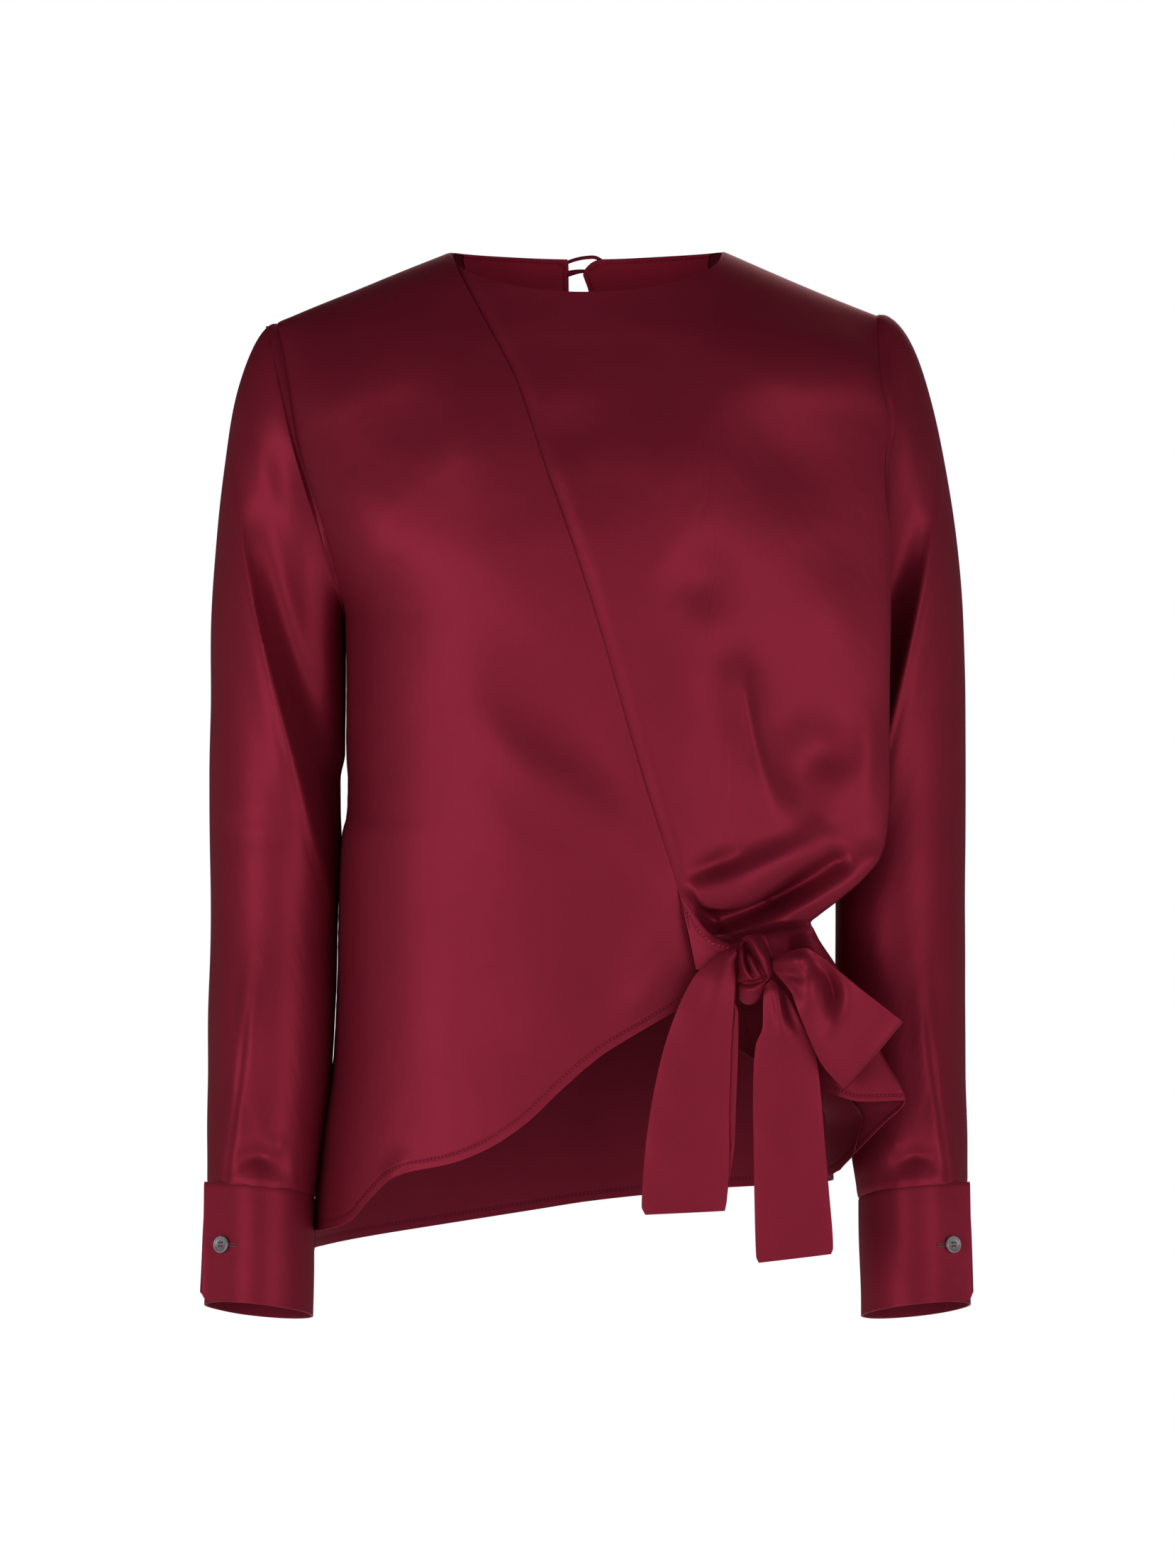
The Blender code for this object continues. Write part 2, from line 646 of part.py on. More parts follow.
def armhole_left_arm(share, front):
    """Armhole on the wearer's left, from the shoulder to the underarm."""
    z = armhole_height(share, SHOULDER_RIGHT)
    if share >= 1:
        return 0.0, z
    if not front:
        return back_angle(float(ARMHOLE_LEFT_BACK.at("x", z)), z), z
    if z > LEFT_ARMHOLE_TURN:
        grown = (LOBE_TOP - z) / (LOBE_TOP - LEFT_ARMHOLE_TURN)
        start = front_angle(SHOULDER_RIGHT, float(shoulder_line(SHOULDER_RIGHT)))
        return start + (LOBE_ANGLE - start) * float(smooth_step(grown * 1.15)), z
    fall = (LEFT_ARMHOLE_TURN - z) / (LEFT_ARMHOLE_TURN - UNDERARM)
    return LOBE_ANGLE * math.sqrt(max(0.0, 1 - fall * fall)), z


def armhole_right_arm(share, front):
    """Armhole on the wearer's right, from the shoulder to the underarm."""
    z = armhole_height(share, SHOULDER_LEFT)
    x = -float(ARMHOLE_RIGHT_ARM.at("x", z))
    if share >= 1:
        return (-180.0 if front else 180.0), z
    return (front_angle(x, z) if front else back_angle(x, z)), z


def neck_front(x):
    return -NECK_DROP_FRONT * math.sqrt(max(0.0, 1 - (x / NECK_HALF) ** 2))


def neck_back(x):
    return -NECK_DROP_BACK * (1 - (x / NECK_HALF) ** 2)


def front_line(xs, height):
    return [(front_angle(x, height(x)), height(x)) for x in xs]


def back_line(xs, height):
    return [(back_angle(x, height(x)), height(x)) for x in xs]


def make_wrap_front(material):
    """Front on the wearer's right, which lies on top and ends in the strap."""
    seam = front_line(np.linspace(-SHOULDER_LEFT, -NECK_HALF, 7), shoulder_line)
    arm = [armhole_right_arm(s, True) for s in np.linspace(0, 1, ARMHOLE_STEPS + 1)]
    seam[0] = arm[0]
    side = arm + [(-180.0, z) for z in SIDE_SEAM_FRONT]
    hem = front_line(FRONT_HEM.columns["x"], lambda x: float(FRONT_HEM.at("z", x)))
    hem[0] = side[-1]
    edge_z = WRAP_EDGE.keys[::-1]
    edge = [(front_angle(float(WRAP_EDGE.at("x", z)), z), z) for z in edge_z]
    edge[0], edge[-1] = seam[-1], hem[-1]
    grid = coons(polyline(seam), polyline(hem), polyline(side), polyline(edge),
                 spaced(WRAP_COLUMNS), spaced(PANEL_ROWS, ROW_CROWD))
    return panel("front_right", wrap_form, grid, material)


def make_drape_front(material):
    """Front on the wearer's left: neckline, drape, roll and the part below the tie.

    Its grid is four patches: above and below the roll, before and behind the rim.
    """
    top = front_line(np.linspace(-NECK_HALF + 1, NECK_HALF, 9), neck_front)
    top += front_line(np.linspace(NECK_HALF, SHOULDER_RIGHT, 6)[1:], shoulder_line)
    arm = [armhole_left_arm(s, True) for s in np.linspace(0, 1, 41)]
    upper_arm = [place for place in arm if place[1] > LEFT_ARMHOLE_TURN]
    lower_arm = [place for place in arm if place[1] < LEFT_ARMHOLE_TURN]
    turn_point = (LOBE_ANGLE, LEFT_ARMHOLE_TURN)
    top[-1] = upper_arm[0]
    under = [top[0]] + [(front_angle(float(UNDER_EDGE.at("x", z)) - UNDERLAP, z), z)
                        for z in UNDER_HEIGHTS]
    roll = front_line(ROLL_STEPS, lambda x: float(ROLL_EDGE.at("z", x)) + 1)
    roll.append((LOBE_ANGLE, PINCH))
    under.append(roll[0])

    arm_rows = int(np.sum(DRAPE_ROWS.columns["rim_z"] > LEFT_ARMHOLE_TURN))
    body_share = (LEFT_ARMHOLE_TURN - DRAPE_ROWS.columns["rim_z"][arm_rows:]) \
        / (LEFT_ARMHOLE_TURN - PINCH)
    rim, edge = polyline(upper_arm + [turn_point, (LOBE_ANGLE, PINCH)]), polyline(under)
    shares = np.linspace(0, 1, 400)
    at_rim = np.interp(-DRAPE_ROWS.columns["rim_z"], -rim(shares)[:, 1], shares)[:, None]
    at_edge = np.interp(-DRAPE_ROWS.columns["edge_z"], -edge(shares)[:, 1], shares)[:, None]
    across = spaced(DRAPE_COLUMNS)
    upper = coons(polyline(top), polyline(roll), edge, rim, across,
                  at_edge + (at_rim - at_edge) * across ** ROW_BEND)
    seam = [(float(LEFT_SIDE_SEAM.at("angle", z)), z) for z in np.linspace(UNDERARM, PINCH, 12)]
    seam[0] = lower_arm[-1]
    behind = coons(polyline([turn_point] + lower_arm), polyline([(LOBE_ANGLE, PINCH), seam[-1]]),
                   polyline([turn_point, (LOBE_ANGLE, PINCH)]), polyline(seam),
                   spaced(BEHIND_COLUMNS), body_share)

    opening = [roll[0]] + [(front_angle(x, z), z) for x, z in PEPLUM_OPENING]
    hem = front_line(np.linspace(PEPLUM_OPENING[-1][0], 200, 11),
                     lambda x: float(PEPLUM_HEM.at("z", x)))
    hem.append((LOBE_ANGLE, RIM_TIP))
    low_share = np.array(PEPLUM_ROWS)
    lower = coons(polyline(roll), polyline(hem), polyline(opening),
                  polyline([(LOBE_ANGLE, PINCH), (LOBE_ANGLE, RIM_TIP)]), across, low_share)
    seam_low = [(float(LEFT_SIDE_SEAM.at("angle", z)), z)
                for z in np.linspace(PINCH, SEAM_AT_HEM, 8)]
    behind_low = coons(polyline([(LOBE_ANGLE, PINCH), seam_low[0]]),
                       polyline([(LOBE_ANGLE, RIM_TIP), seam_low[-1]]),
                       polyline([(LOBE_ANGLE, PINCH), (LOBE_ANGLE, RIM_TIP)]),
                       polyline(seam_low), spaced(BEHIND_COLUMNS), low_share)

    before = np.concatenate([upper, lower])
    after = np.concatenate([np.repeat(behind[:1], arm_rows, axis=0), behind, behind_low])
    grid = np.concatenate([before, after[:, 1:]], axis=1)
    keep = np.ones((grid.shape[0] - 1, grid.shape[1] - 1), dtype=bool)
    keep[:arm_rows, DRAPE_COLUMNS:] = False
    point = drape_form(grid[..., 0], grid[..., 1])
    from_edge = point[..., 0] - UNDER_EDGE.at("x", point[..., 2])
    lift = -LAP * (1 - smooth_step((from_edge - 1) / 10))
    return panel("front_left", drape_form, grid, material, lift=lift, keep=keep)


def back_edges():
    """The four edges of the back: top, hem and the two sides from armhole to hem."""
    arm_left = [armhole_right_arm(s, False) for s in np.linspace(0, 1, ARMHOLE_STEPS + 1)]
    arm_right = [armhole_left_arm(s, False) for s in np.linspace(0, 1, ARMHOLE_STEPS + 1)]
    top = back_line(np.linspace(-SHOULDER_LEFT, -NECK_HALF, 6), shoulder_line)
    top += back_line(np.linspace(-NECK_HALF, NECK_HALF, 15)[1:], neck_back)
    top += back_line(np.linspace(NECK_HALF, SHOULDER_RIGHT, 6)[1:], shoulder_line)
    top[0], top[-1] = arm_left[0], arm_right[0]
    side_left = arm_left + [(180.0, z) for z in SIDE_SEAM_BACK]
    side_right = arm_right + [(float(LEFT_SIDE_SEAM.at("angle", z)) + SEAM_TURN, z)
                              for z in LEFT_SEAM_HEIGHTS]
    hem = back_line(BACK_HEM.columns["x"][:-1], lambda x: float(BACK_HEM.at("z", x)))
    hem[0] = side_left[-1]
    hem += BACK_HEM_CORNER
    hem.append(side_right[-1])
    return polyline(top), polyline(hem), polyline(side_left), polyline(side_right)


def make_back(satin, facing):
    """Back with the slit at the middle of the neck, and the two halves of its neck facing,
    which show above the front."""
    columns, rows = BACK_COLUMNS, PANEL_ROWS
    grid = coons(*back_edges(), spaced(columns), spaced(rows, ROW_CROWD))
    keep = np.ones((rows, columns), dtype=bool)
    point = back_form(grid[..., 0], grid[..., 1])
    middle = (SLIT_LEFT + SLIT_RIGHT) / 2
    half = (SLIT_RIGHT - SLIT_LEFT) / 2
    slit = int(np.argmin(np.abs(point[0, :, 0] - middle)))
    open_rows = int(np.sum(point[:, slit, 2] > -SLIT_LENGTH))
    for j in range(open_rows + 1):
        apart = half * (1 - SLIT_CLOSING * (j / open_rows) ** 3)
        z = grid[j, slit, 1]
        for place, x in ((slit - 1, middle - apart), (slit, middle), (slit + 1, middle + apart)):
            grid[j, place] = (back_angle(x, z), z)
    keep[:open_rows, slit - 1:slit + 1] = False
    panel("back", back_form, grid, satin, keep=keep)
    facing_start = int(np.argmin(np.abs(point[0, :, 0] + FACING_HALF)))
    facing_end = int(np.argmin(np.abs(point[0, :, 0] - FACING_HALF)))
    for word, start, end in (("right", facing_start, slit - 1), ("left", slit + 1, facing_end)):
        panel("back_facing_" + word, back_form, grid[:FACING_ROWS + 1, start:end + 1], facing,
              lift=-CLOTH - HALF_SEAM, thick=FACING_CLOTH)


def sleeve_ring(table, turn, z):
    """Ring of a sleeve; turn runs from the outer side round the front. X is the distance
    from the middle of the body."""
    outer, inner = table.at("outer", z), table.at("inner", z)
    aside = np.cos(turn) * (outer - inner) / 2
    depth = -np.sin(turn) * table.at("half_depth", z)
    x = (outer + inner) / 2 + aside
    y = table.at("centre_y", z) + depth
    rise = table.at("cant", z) * aside - table.at("lean", z) * depth
    return np.stack(np.broadcast_arrays(x, y, z + rise), axis=-1)


def armhole_points(armhole, front_form, side, turns):
    points = []
    for turn in turns:
        share = turn / math.pi
        front = share <= 1
        angle, z = armhole(share if front else 2 - share, front)
        form = front_form if front else back_form
        point = form(np.array([angle]), np.array([z]))[0]
        points.append((side * point[0], point[1], point[2]))
    return np.array(points)


def make_sleeve(name, table, armhole, front_form, side, seam, material):
    """Sleeve from its armhole to the cuff, full at the head, with its long creases."""
    turns = np.linspace(0, 2 * math.pi, SLEEVE_COLUMNS_ROUND, endpoint=False)
    start = armhole_points(armhole, front_form, side, turns)
    end = sleeve_ring(table, turns, np.full(turns.shape, SLEEVE_RING))
    rows = []
    for share in SLEEVE_HEAD_ROWS:
        spread = math.sqrt(1 - (1 - share) ** 2)
        row = start + (end - start) * np.array([spread, spread, share])
        row[:, 0] += seam * (1 - share ** 2)
        rows.append(row)
    for z in np.linspace(SLEEVE_RING, SLEEVE_END, SLEEVE_RINGS):
        rows.append(sleeve_ring(table, turns, np.full(turns.shape, z)))
    points = np.array(rows)
    facing = smooth_step(np.sin(turns) / 0.5)[None, :]
    points[..., 1] -= facing * fold_height(SLEEVE_FOLDS, points[..., 0], points[..., 2])
    points[..., 0] *= side
    normal = grid_normal(points, wrap=True) * (-side)
    return wall(name, points, points - normal * CLOTH, material, wrap=True)


def cuff_outline(table, z):
    """Places round a cuff's outer surface, from under its flap to the flap's free edge."""
    sweep = np.radians(np.linspace(CUFF_START, FLAP_START - 360, CUFF_COLUMNS))
    ring = sleeve_ring(table, sweep, np.full(sweep.shape, z))
    centre = ring[:, :2].mean(axis=0)
    tuck = CUFF_TUCK * (1 - smooth_step((CUFF_START - np.degrees(sweep)) / TUCK_TURN))
    inward = unit(centre - ring[:, :2])
    ring[:, :2] += inward * tuck[:, None]
    heading = unit(ring[-1] - ring[-2])
    flap = [ring[-1] + heading * reach for reach in FLAP_STEPS]
    return np.concatenate([ring, np.array(flap)])


def cuff_points(table, side):
    """Outer grid of a cuff, its top and bottom rows first and last."""
    heights = np.linspace(CUFF_TOP, CUFF_BOTTOM, CUFF_ROWS)
    rows = np.array([cuff_outline(table, z) for z in heights])
    for place, end in ((-1, 0.0), (-2, CORNER_STEP)):
        lifted = FLAP_CORNER - math.sqrt(FLAP_CORNER ** 2 - (FLAP_CORNER - end) ** 2)
        rows[-1, place, 2] += lifted
    rows[..., 0] *= side
    return rows


def make_cuff(name, table, side, material):
    points = cuff_points(table, side)
    normal = grid_normal(points, wrap=False) * side
    return wall(name, points, points - normal * CUFF_CLOTH, material)


def ribbon_points(table, count, across, crown):
    """Middle surface of a stretch of ribbon, bowed forwards between its edges."""
    along = np.linspace(table.keys[0], table.keys[-1], count + 1)
    share = np.linspace(0, 1, across + 1)[None, :]
    x = (table.at("x0", along)[:, None] * (1 - share) + table.at("x1", along)[:, None] * share)
    z = (table.at("z0", along)[:, None] * (1 - share) + table.at("z1", along)[:, None] * share)
    y = table.at("y", along)[:, None] - crown * np.sin(np.pi * share)
    return np.stack(np.broadcast_arrays(x, y, z), axis=-1)


def make_ribbon(name, table, count, across, crown, material, folds=()):
    points = ribbon_points(table, count, across, crown)
    if folds:
        front = smooth_step((LOOP_TURN - np.linspace(0, 100, count + 1)) / 8)[:, None]
        points[..., 1] -= front * fold_height(folds, points[..., 0], points[..., 2])
    half = grid_normal(points, wrap=False) * TIE_CLOTH / 2
    return wall(name, points + half, points - half, material)


def make_knot(material):
    heights = np.linspace(KNOT.keys[-1], KNOT.keys[0], KNOT_RINGS)
    turns = np.linspace(0, 2 * math.pi, KNOT_SIDES, endpoint=False)
    rings = []
    for z in heights:
        groove = 1 + np.cos(KNOT_TURNS * turns + (z - heights[0]) * KNOT_TWIST)
        body_share = math.sin(math.pi * (z - KNOT.keys[0]) / (KNOT.keys[-1] - KNOT.keys[0]))
        shrink = KNOT_GROOVE * groove * body_share
        rings.append(np.stack([KNOT.at("x", z) + (KNOT.at("half_x", z) - shrink) * np.cos(turns),
                               KNOT_Y + (KNOT.at("half_y", z) - shrink) * np.sin(turns),
                               np.full(turns.shape, z)], axis=-1))
    return stack_of_rings("tie_knot", np.array(rings), material)


def oriented(offsets, place, normal, upward):
    """Points given as sideways, up and outward offsets, set on a surface."""
    side = unit(np.cross(upward, normal))
    lift = np.cross(normal, side)
    return place + offsets[..., :1] * side + offsets[..., 1:2] * lift + offsets[..., 2:] * normal


def make_button(name, place, normal, profile, holes, material):
    """Round button turned from a profile of radius and height, with sewing holes."""
    turns = np.linspace(0, 2 * math.pi, 24, endpoint=False)
    upward = np.array([0.0, 0.0, 1.0])
    rings = np.array([[(r * math.cos(t), r * math.sin(t), h) for t in turns] for r, h in profile])
    button = stack_of_rings(name, oriented(rings, place, normal, upward), material)
    for x, y in holes:
        ring = np.array([[(x + BUTTON_HOLE / 2 * math.cos(t), y + BUTTON_HOLE / 2 * math.sin(t), h)
                          for t in turns[::3]] for h in (-1.0, BUTTON_THICK + 1.0)])
        cutter = stack_of_rings(name + "_hole", oriented(ring, place, normal, upward), material)
        cutter.hide_render = True
        cutter.display_type = "WIRE"
        cut = button.modifiers.new("hole", "BOOLEAN")
        cut.operation, cut.object, cut.solver = "DIFFERENCE", cutter, "EXACT"
    return button


def make_cuff_button(name, table, side, material):
    points = cuff_points(table, side)
    normals = grid_normal(points, wrap=False) * side
    row = int(np.argmin(np.abs(points[:, BUTTON_COLUMN, 2] - BUTTON_DROP)))
    normal = normals[row, BUTTON_COLUMN]
    place = points[row, BUTTON_COLUMN] + normal * CUFF_BUTTON_CLEAR
    place[2] = BUTTON_DROP
    profile = [(radius * CUFF_BUTTON / 2, height) for radius, height in CUFF_BUTTON_PROFILE]
    holes = [(x, y) for x in (-HOLE_OFFSET, HOLE_OFFSET) for y in (-HOLE_OFFSET, HOLE_OFFSET)]
    return make_button(name, place, normal, profile, holes, material)


def make_neck_closure(satin, horn):
    """Button outside the back of the neck and the cord loop that holds it."""
    z = NECK_BUTTON_Z
    angle = np.array([back_angle(NECK_BUTTON_X, z)])
    place = back_form(angle, np.array([z]))[0]
    normal = form_normal(back_form, angle, np.array([z]))[0]
    profile = [(radius * NECK_BUTTON / 2, height) for radius, height in NECK_BUTTON_PROFILE]
    make_button("neck_button", place + normal * NECK_BUTTON_CLEAR, normal, profile, (), horn)
    route = []
    for x, drop, out in LOOP_ROUTE:
        turn = np.array([back_angle(x, drop)])
        spot = back_form(turn, np.array([drop]))[0]
        route.append(spot + form_normal(back_form, turn, np.array([drop]))[0] * out)
    tube("neck_loop", route, CORD / 2, CORD_SIDES, satin)


def main():
    for piece in list(bpy.data.objects):
        bpy.data.objects.remove(piece)
    satin = make_material("satin", SATIN, 0.38)
    facing = make_material("satin_facing", SATIN_SHADE, 0.45)
    horn = make_material("horn", HORN, 0.3)
    make_back(satin, facing)
    make_wrap_front(satin)
    make_drape_front(satin)
    for word, table, armhole, form, side, seam in (
            ("right", SLEEVE_RIGHT_ARM, armhole_right_arm, wrap_form, -1, SLEEVE_SEAM),
            ("left", SLEEVE_LEFT_ARM, armhole_left_arm, drape_form, 1, DRAPED_SLEEVE_SEAM)):
        make_sleeve("sleeve_" + word, table, armhole, form, side, seam, satin)
        make_cuff("cuff_" + word, table, side, satin)
        make_cuff_button("cuff_button_" + word, table, side, horn)
    make_ribbon("tie_strap", STRAP, 8, 5, 0.5, satin)
    make_ribbon("tie_end_right", TAIL_RIGHT, 16, 4, 1.5, satin)
    make_ribbon("tie_end_left", TAIL_LEFT, 16, 4, 1.5, satin)
    make_ribbon("tie_loop", BOW_LOOP, 30, 5, 1.0, satin, folds=LOOP_FOLDS)
    make_knot(satin)
    make_neck_closure(satin, horn)


main()
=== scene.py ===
"""Burgundy satin wrap blouse with long cuffed sleeves and a knotted side tie.

Every piece of cloth is a thin shell on the form of its solid, with its creases, hems and
stitches. Tables and functions of form are in millimetres; X runs across the front, Y from the
front to the back and Z up, from the middle between the neck points.
"""
import math

import bmesh
import bpy
import numpy as np
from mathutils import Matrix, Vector


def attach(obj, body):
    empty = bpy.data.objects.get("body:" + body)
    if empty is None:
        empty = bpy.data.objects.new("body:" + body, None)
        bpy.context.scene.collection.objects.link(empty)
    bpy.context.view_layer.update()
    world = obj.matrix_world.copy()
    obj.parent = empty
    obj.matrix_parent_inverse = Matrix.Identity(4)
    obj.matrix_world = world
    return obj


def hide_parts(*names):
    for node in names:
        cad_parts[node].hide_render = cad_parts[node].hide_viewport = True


bl_info = {
    "name": "Satin Wrap Blouse",
    "version": (1, 0, 0),
    "blender": (4, 5, 0),
    "location": "3D View > Sidebar > Blouse",
    "description": "Builds a satin wrap blouse with a side tie, piece by piece, over its frame",
    "category": "Add Mesh",
}

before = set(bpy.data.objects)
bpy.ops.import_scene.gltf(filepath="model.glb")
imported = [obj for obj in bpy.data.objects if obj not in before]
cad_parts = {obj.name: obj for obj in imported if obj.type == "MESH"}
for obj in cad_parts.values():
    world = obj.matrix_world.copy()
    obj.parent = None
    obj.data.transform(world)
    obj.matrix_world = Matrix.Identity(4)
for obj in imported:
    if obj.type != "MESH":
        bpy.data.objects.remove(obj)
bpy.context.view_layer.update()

MM = 0.001
UPWARD = np.array([0.0, 0.0, 1.0])

# Cloth layers where they meet
HALF_SEAM = 0.15
SEAM_REACH = 1.2
LAP = 1.6
UNDERLAP = 12.0
SLEEVE_SEAM = 0.4
DRAPED_SLEEVE_SEAM = 0.6
EDGE_PRESS = 0.12

# Depth from the middle at which the soft folds start, and the stretch over which they come in
FADE_START = 25.0
FADE_REACH = 40.0

# Place given for the stitches of an edge that has none, the low waves of the small pieces, and
# the least share of its rectangle that a flat cut fills
PLAIN_EDGE = -50.0
SMALL_WAVE = 0.35
LEAST_SHARE = 0.32

# Neck and shoulders, with the slit and the facing at the back of the neck
NECK_HALF = 90.0
NECK_DROP_FRONT = 30.0
NECK_DROP_BACK = 2.0
SHOULDER_FALL = 0.41
SHOULDER_ROUND = 80.0
SHOULDER_LEFT = 205.0
SHOULDER_RIGHT = 193.0
SLIT_LENGTH = 120.0
SLIT_SWAY = 46.0
SLIT_COLUMNS = 16
FACING_DEPTH = 40.0
FACING_GAP = 0.15
FACING_HALF = 80.0

# Height of the underarm, where the side seams start, and how square the body is in plan
UNDERARM = -244.0
SQUARENESS = 2.4

# The fold that hangs over the wearer's left side, by its angle round the body
LOBE_ANGLE = -38.0
LOBE_TOP = -42.0
LOBE_GROWTH = 80.0
PINCH = -441.0
RIM_TIP = -559.0
SEAM_AT_HEM = -595.0

# Roll of the drape above the tie
ROLL_STEP = 9.0
PEPLUM_RECOVERY = 0.6

# Sleeves and cuffs: heights, and the angles and reach of a cuff's lapped end
SLEEVE_RING = -300.0
SLEEVE_END = -621.3
CUFF_TOP = -622.3
CUFF_BOTTOM = -700.0
CUFF_START = 51.0
FLAP_START = 62.0
FLAP_REACH = 23.0
FLAP_CORNER = 6.0
CUFF_TUCK = 1.7
TUCK_TURN = 45.0
CUFF_SEAM_DIP = 0.5
BUTTON_DROP = -655.0

# Buttons, their thread and their worked buttonholes
CUFF_BUTTON = 11.5
BUTTON_THICK = 2.4
BUTTON_HOLE = 1.3
HOLE_OFFSET = 1.15
CUFF_BUTTON_CLEAR = 0.4
NECK_BUTTON = 9.0
NECK_BUTTON_X = 9.0
NECK_BUTTON_Z = -9.0
NECK_BUTTON_CLEAR = 0.35
STRAND = 0.21
STRAND_LEAN = 0.22
SHANK = 1.1
STRAND_ROUTE = ((-1, 0.2), (-1, 1.6), (-0.7, 2.15), (0, 2.3), (0.7, 2.15), (1, 1.6), (1, 0.2))
BUTTONHOLE = 14.0
BUTTONHOLE_WIDE = 1.5
BUTTONHOLE_SHIFT = 4.2
BUTTONHOLE_LIFT = 0.25
BUTTONHOLE_CORD = 0.36

# Button profiles: share of the radius, height
CUFF_BUTTON_PROFILE = (
    (0.78, 0.0), (0.93, 0.25), (0.99, 0.8), (1.00, 1.3), (0.985, 1.9), (0.94, 2.25),
    (0.88, BUTTON_THICK), (0.80, BUTTON_THICK - 0.03), (0.72, BUTTON_THICK - 0.35),
    (0.66, BUTTON_THICK - 0.62), (0.50, BUTTON_THICK - 0.70), (0.05, BUTTON_THICK - 0.72),
)
NECK_BUTTON_PROFILE = (
    (0.289, 0.0), (0.289, 2.9), (0.60, 3.0), (0.88, 3.3), (0.98, 3.8), (1.00, 4.2),
    (0.96, 4.7), (0.84, 5.15), (0.60, 5.45), (0.30, 5.58), (0.05, 5.6),
)

# Cord loop round the neck button: x, z and how far it stands off the back
CORD = 1.8
LOOP_ROUTE = (
    (-13.6, -3.6, -0.9), (-11.0, -3.2, 0.1), (-6.0, -2.4, 1.4), (0.0, -1.7, 2.2),
    (5.0, -1.9, 2.4), (9.0, -4.0, 2.3), (11.6, -6.8, 2.1), (12.1, -9.0, 2.1),
    (11.2, -11.2, 2.1), (8.0, -12.0, 2.1), (3.0, -11.4, 2.1), (-3.0, -10.5, 1.7),
    (-8.0, -10.6, 0.8), (-11.0, -10.8, 0.0), (-13.6, -10.9, -0.9),
)

# Soft ridges and, with a height below nought, troughs, by piece. Each is a bent line from x0, z0
# past x1, z1 to x2, z2, then its height, half width and the share of its height at the start and
# the end. The roll's overhang shifts the cloth down instead of out
SOFT_WRAP_FOLDS = (
    (-150, -70, -118, -110, -92, -150, -4.5, 34, 0.20, 0.00),
    (-176, -120, -150, -180, -128, -232, 5.0, 26, 0.00, 0.10),
    (-96, -60, -84, -120, -62, -190, 3.0, 24, 0.10, 0.00),
    (-132, -222, -128, -330, -126, -470, 4.0, 30, 0.00, 0.10),
    (-84, -236, -40, -300, 22, -392, -4.0, 22, 0.05, 0.20),
    (-104, -300, -60, -380, 10, -470, 3.0, 30, 0.00, 0.00),
    (-70, -420, -60, -500, -70, -580, -2.5, 34, 0.00, 0.10),
    (-136, -216, -126, -209, -114, -199, -0.7, 3.2, 0.10, 0.00),
    (-128, -608, -122, -600, -110, -592, 2.2, 6, 1.00, 0.00),
)
BACK_FOLDS = (
    (-96, -600, -74, -450, -62, -300, -4.5, 24, 0.30, 0.00),
    (66, -600, 52, -450, 72, -320, 4.5, 26, 0.20, 0.00),
    (-18, -610, 2, -540, 12, -440, 3.0, 18, 0.40, 0.00),
    (132, -180, 106, -250, 60, -300, -3.5, 20, 0.00, 0.00),
    (-136, -180, -104, -255, -58, -310, -3.0, 22, 0.00, 0.00),
    (-20, -150, 6, -170, 40, -160, 2.0, 20, 0.00, 0.00),
    (120, -420, 96, -470, 40, -520, -3.0, 16, 0.20, 0.00),
)
ROLL_OVERHANG = (
    (60, -425, 98, -432, 154, -398, 11.5, 7.0, 0.30, 0.15),
)
SOFT_DRAPE_FOLDS = (
    (-26, -96, -12, -120, 0, -150, -3.0, 26, 0.00, 0.00),
    (96, -92, 128, -128, 160, -190, -5.0, 30, 0.05, 0.00),
    (40, -86, 52, -150, 60, -200, 3.0, 30, 0.00, 0.00),
    (56, -196, 76, -214, 92, -252, -5.5, 21, 0.00, 0.00),
    (40, -250, 70, -292, 92, -330, 3.0, 22, 0.00, 0.00),
    (140, -196, 160, -236, 178, -300, 4.0, 24, 0.00, 0.00),
    (92, -262, 100, -292, 108, -330, 4.2, 15, 0.00, 0.10),
    (104, -280, 101, -318, 122, -366, 3.4, 4.0, 0.05, 0.20),
    (128, -304, 150, -330, 176, -352, -8.0, 18, 0.00, 0.00),
)
SLEEVE_BACK_FOLDS = (
    (236, -150, 214, -250, 176, -420, 6, 14, 0.00, 0.30),
    (228, -610, 218, -540, 206, -460, 4, 9, 0.60, 0.00),
    (240, -606, 236, -560, 230, -520, -3, 7, 0.50, 0.00),
)
STRAP_FOLDS = (
    (62, -424, 82, -446, 97, -461, -1.2, 1.6, 0.80, 0.80),
    (70, -450, 84, -459, 97, -464, 1.2, 3.0, 0.20, 0.80),
)
TAIL_FOLDS = (
    (120, -474, 124, -492, 127, -522, 2.2, 2.6, 0.60, 0.00),
    (125, -484, 132, -502, 139, -524, -2.4, 4.0, 0.60, 0.10),
    (94, -466, 84, -482, 76, -520, 1.4, 6.0, 0.50, 0.00),
)

# Height of the camera and its sensor's height; half the floor's width; what the lights face and
# their size, in metres
VIEW_HEIGHT = -353.0
SENSOR = 36.0
FLOOR_HALF = 2600.0
LIGHT_AIM = (0.0, 0.0, -0.45)
LIGHT_SIZE = (2.2, 2.0)

# Brightness of the surround from its lowest to its highest point, and its shares in front of and
# behind the blouse
SURROUND_STOPS = ((0.0, 0.05), (0.28, 0.22), (0.43, 1.00), (0.53, 0.85), (0.66, 0.12), (1.0, 0.03))
SURROUND_FRONT = 1.20
SURROUND_BACK = 0.15


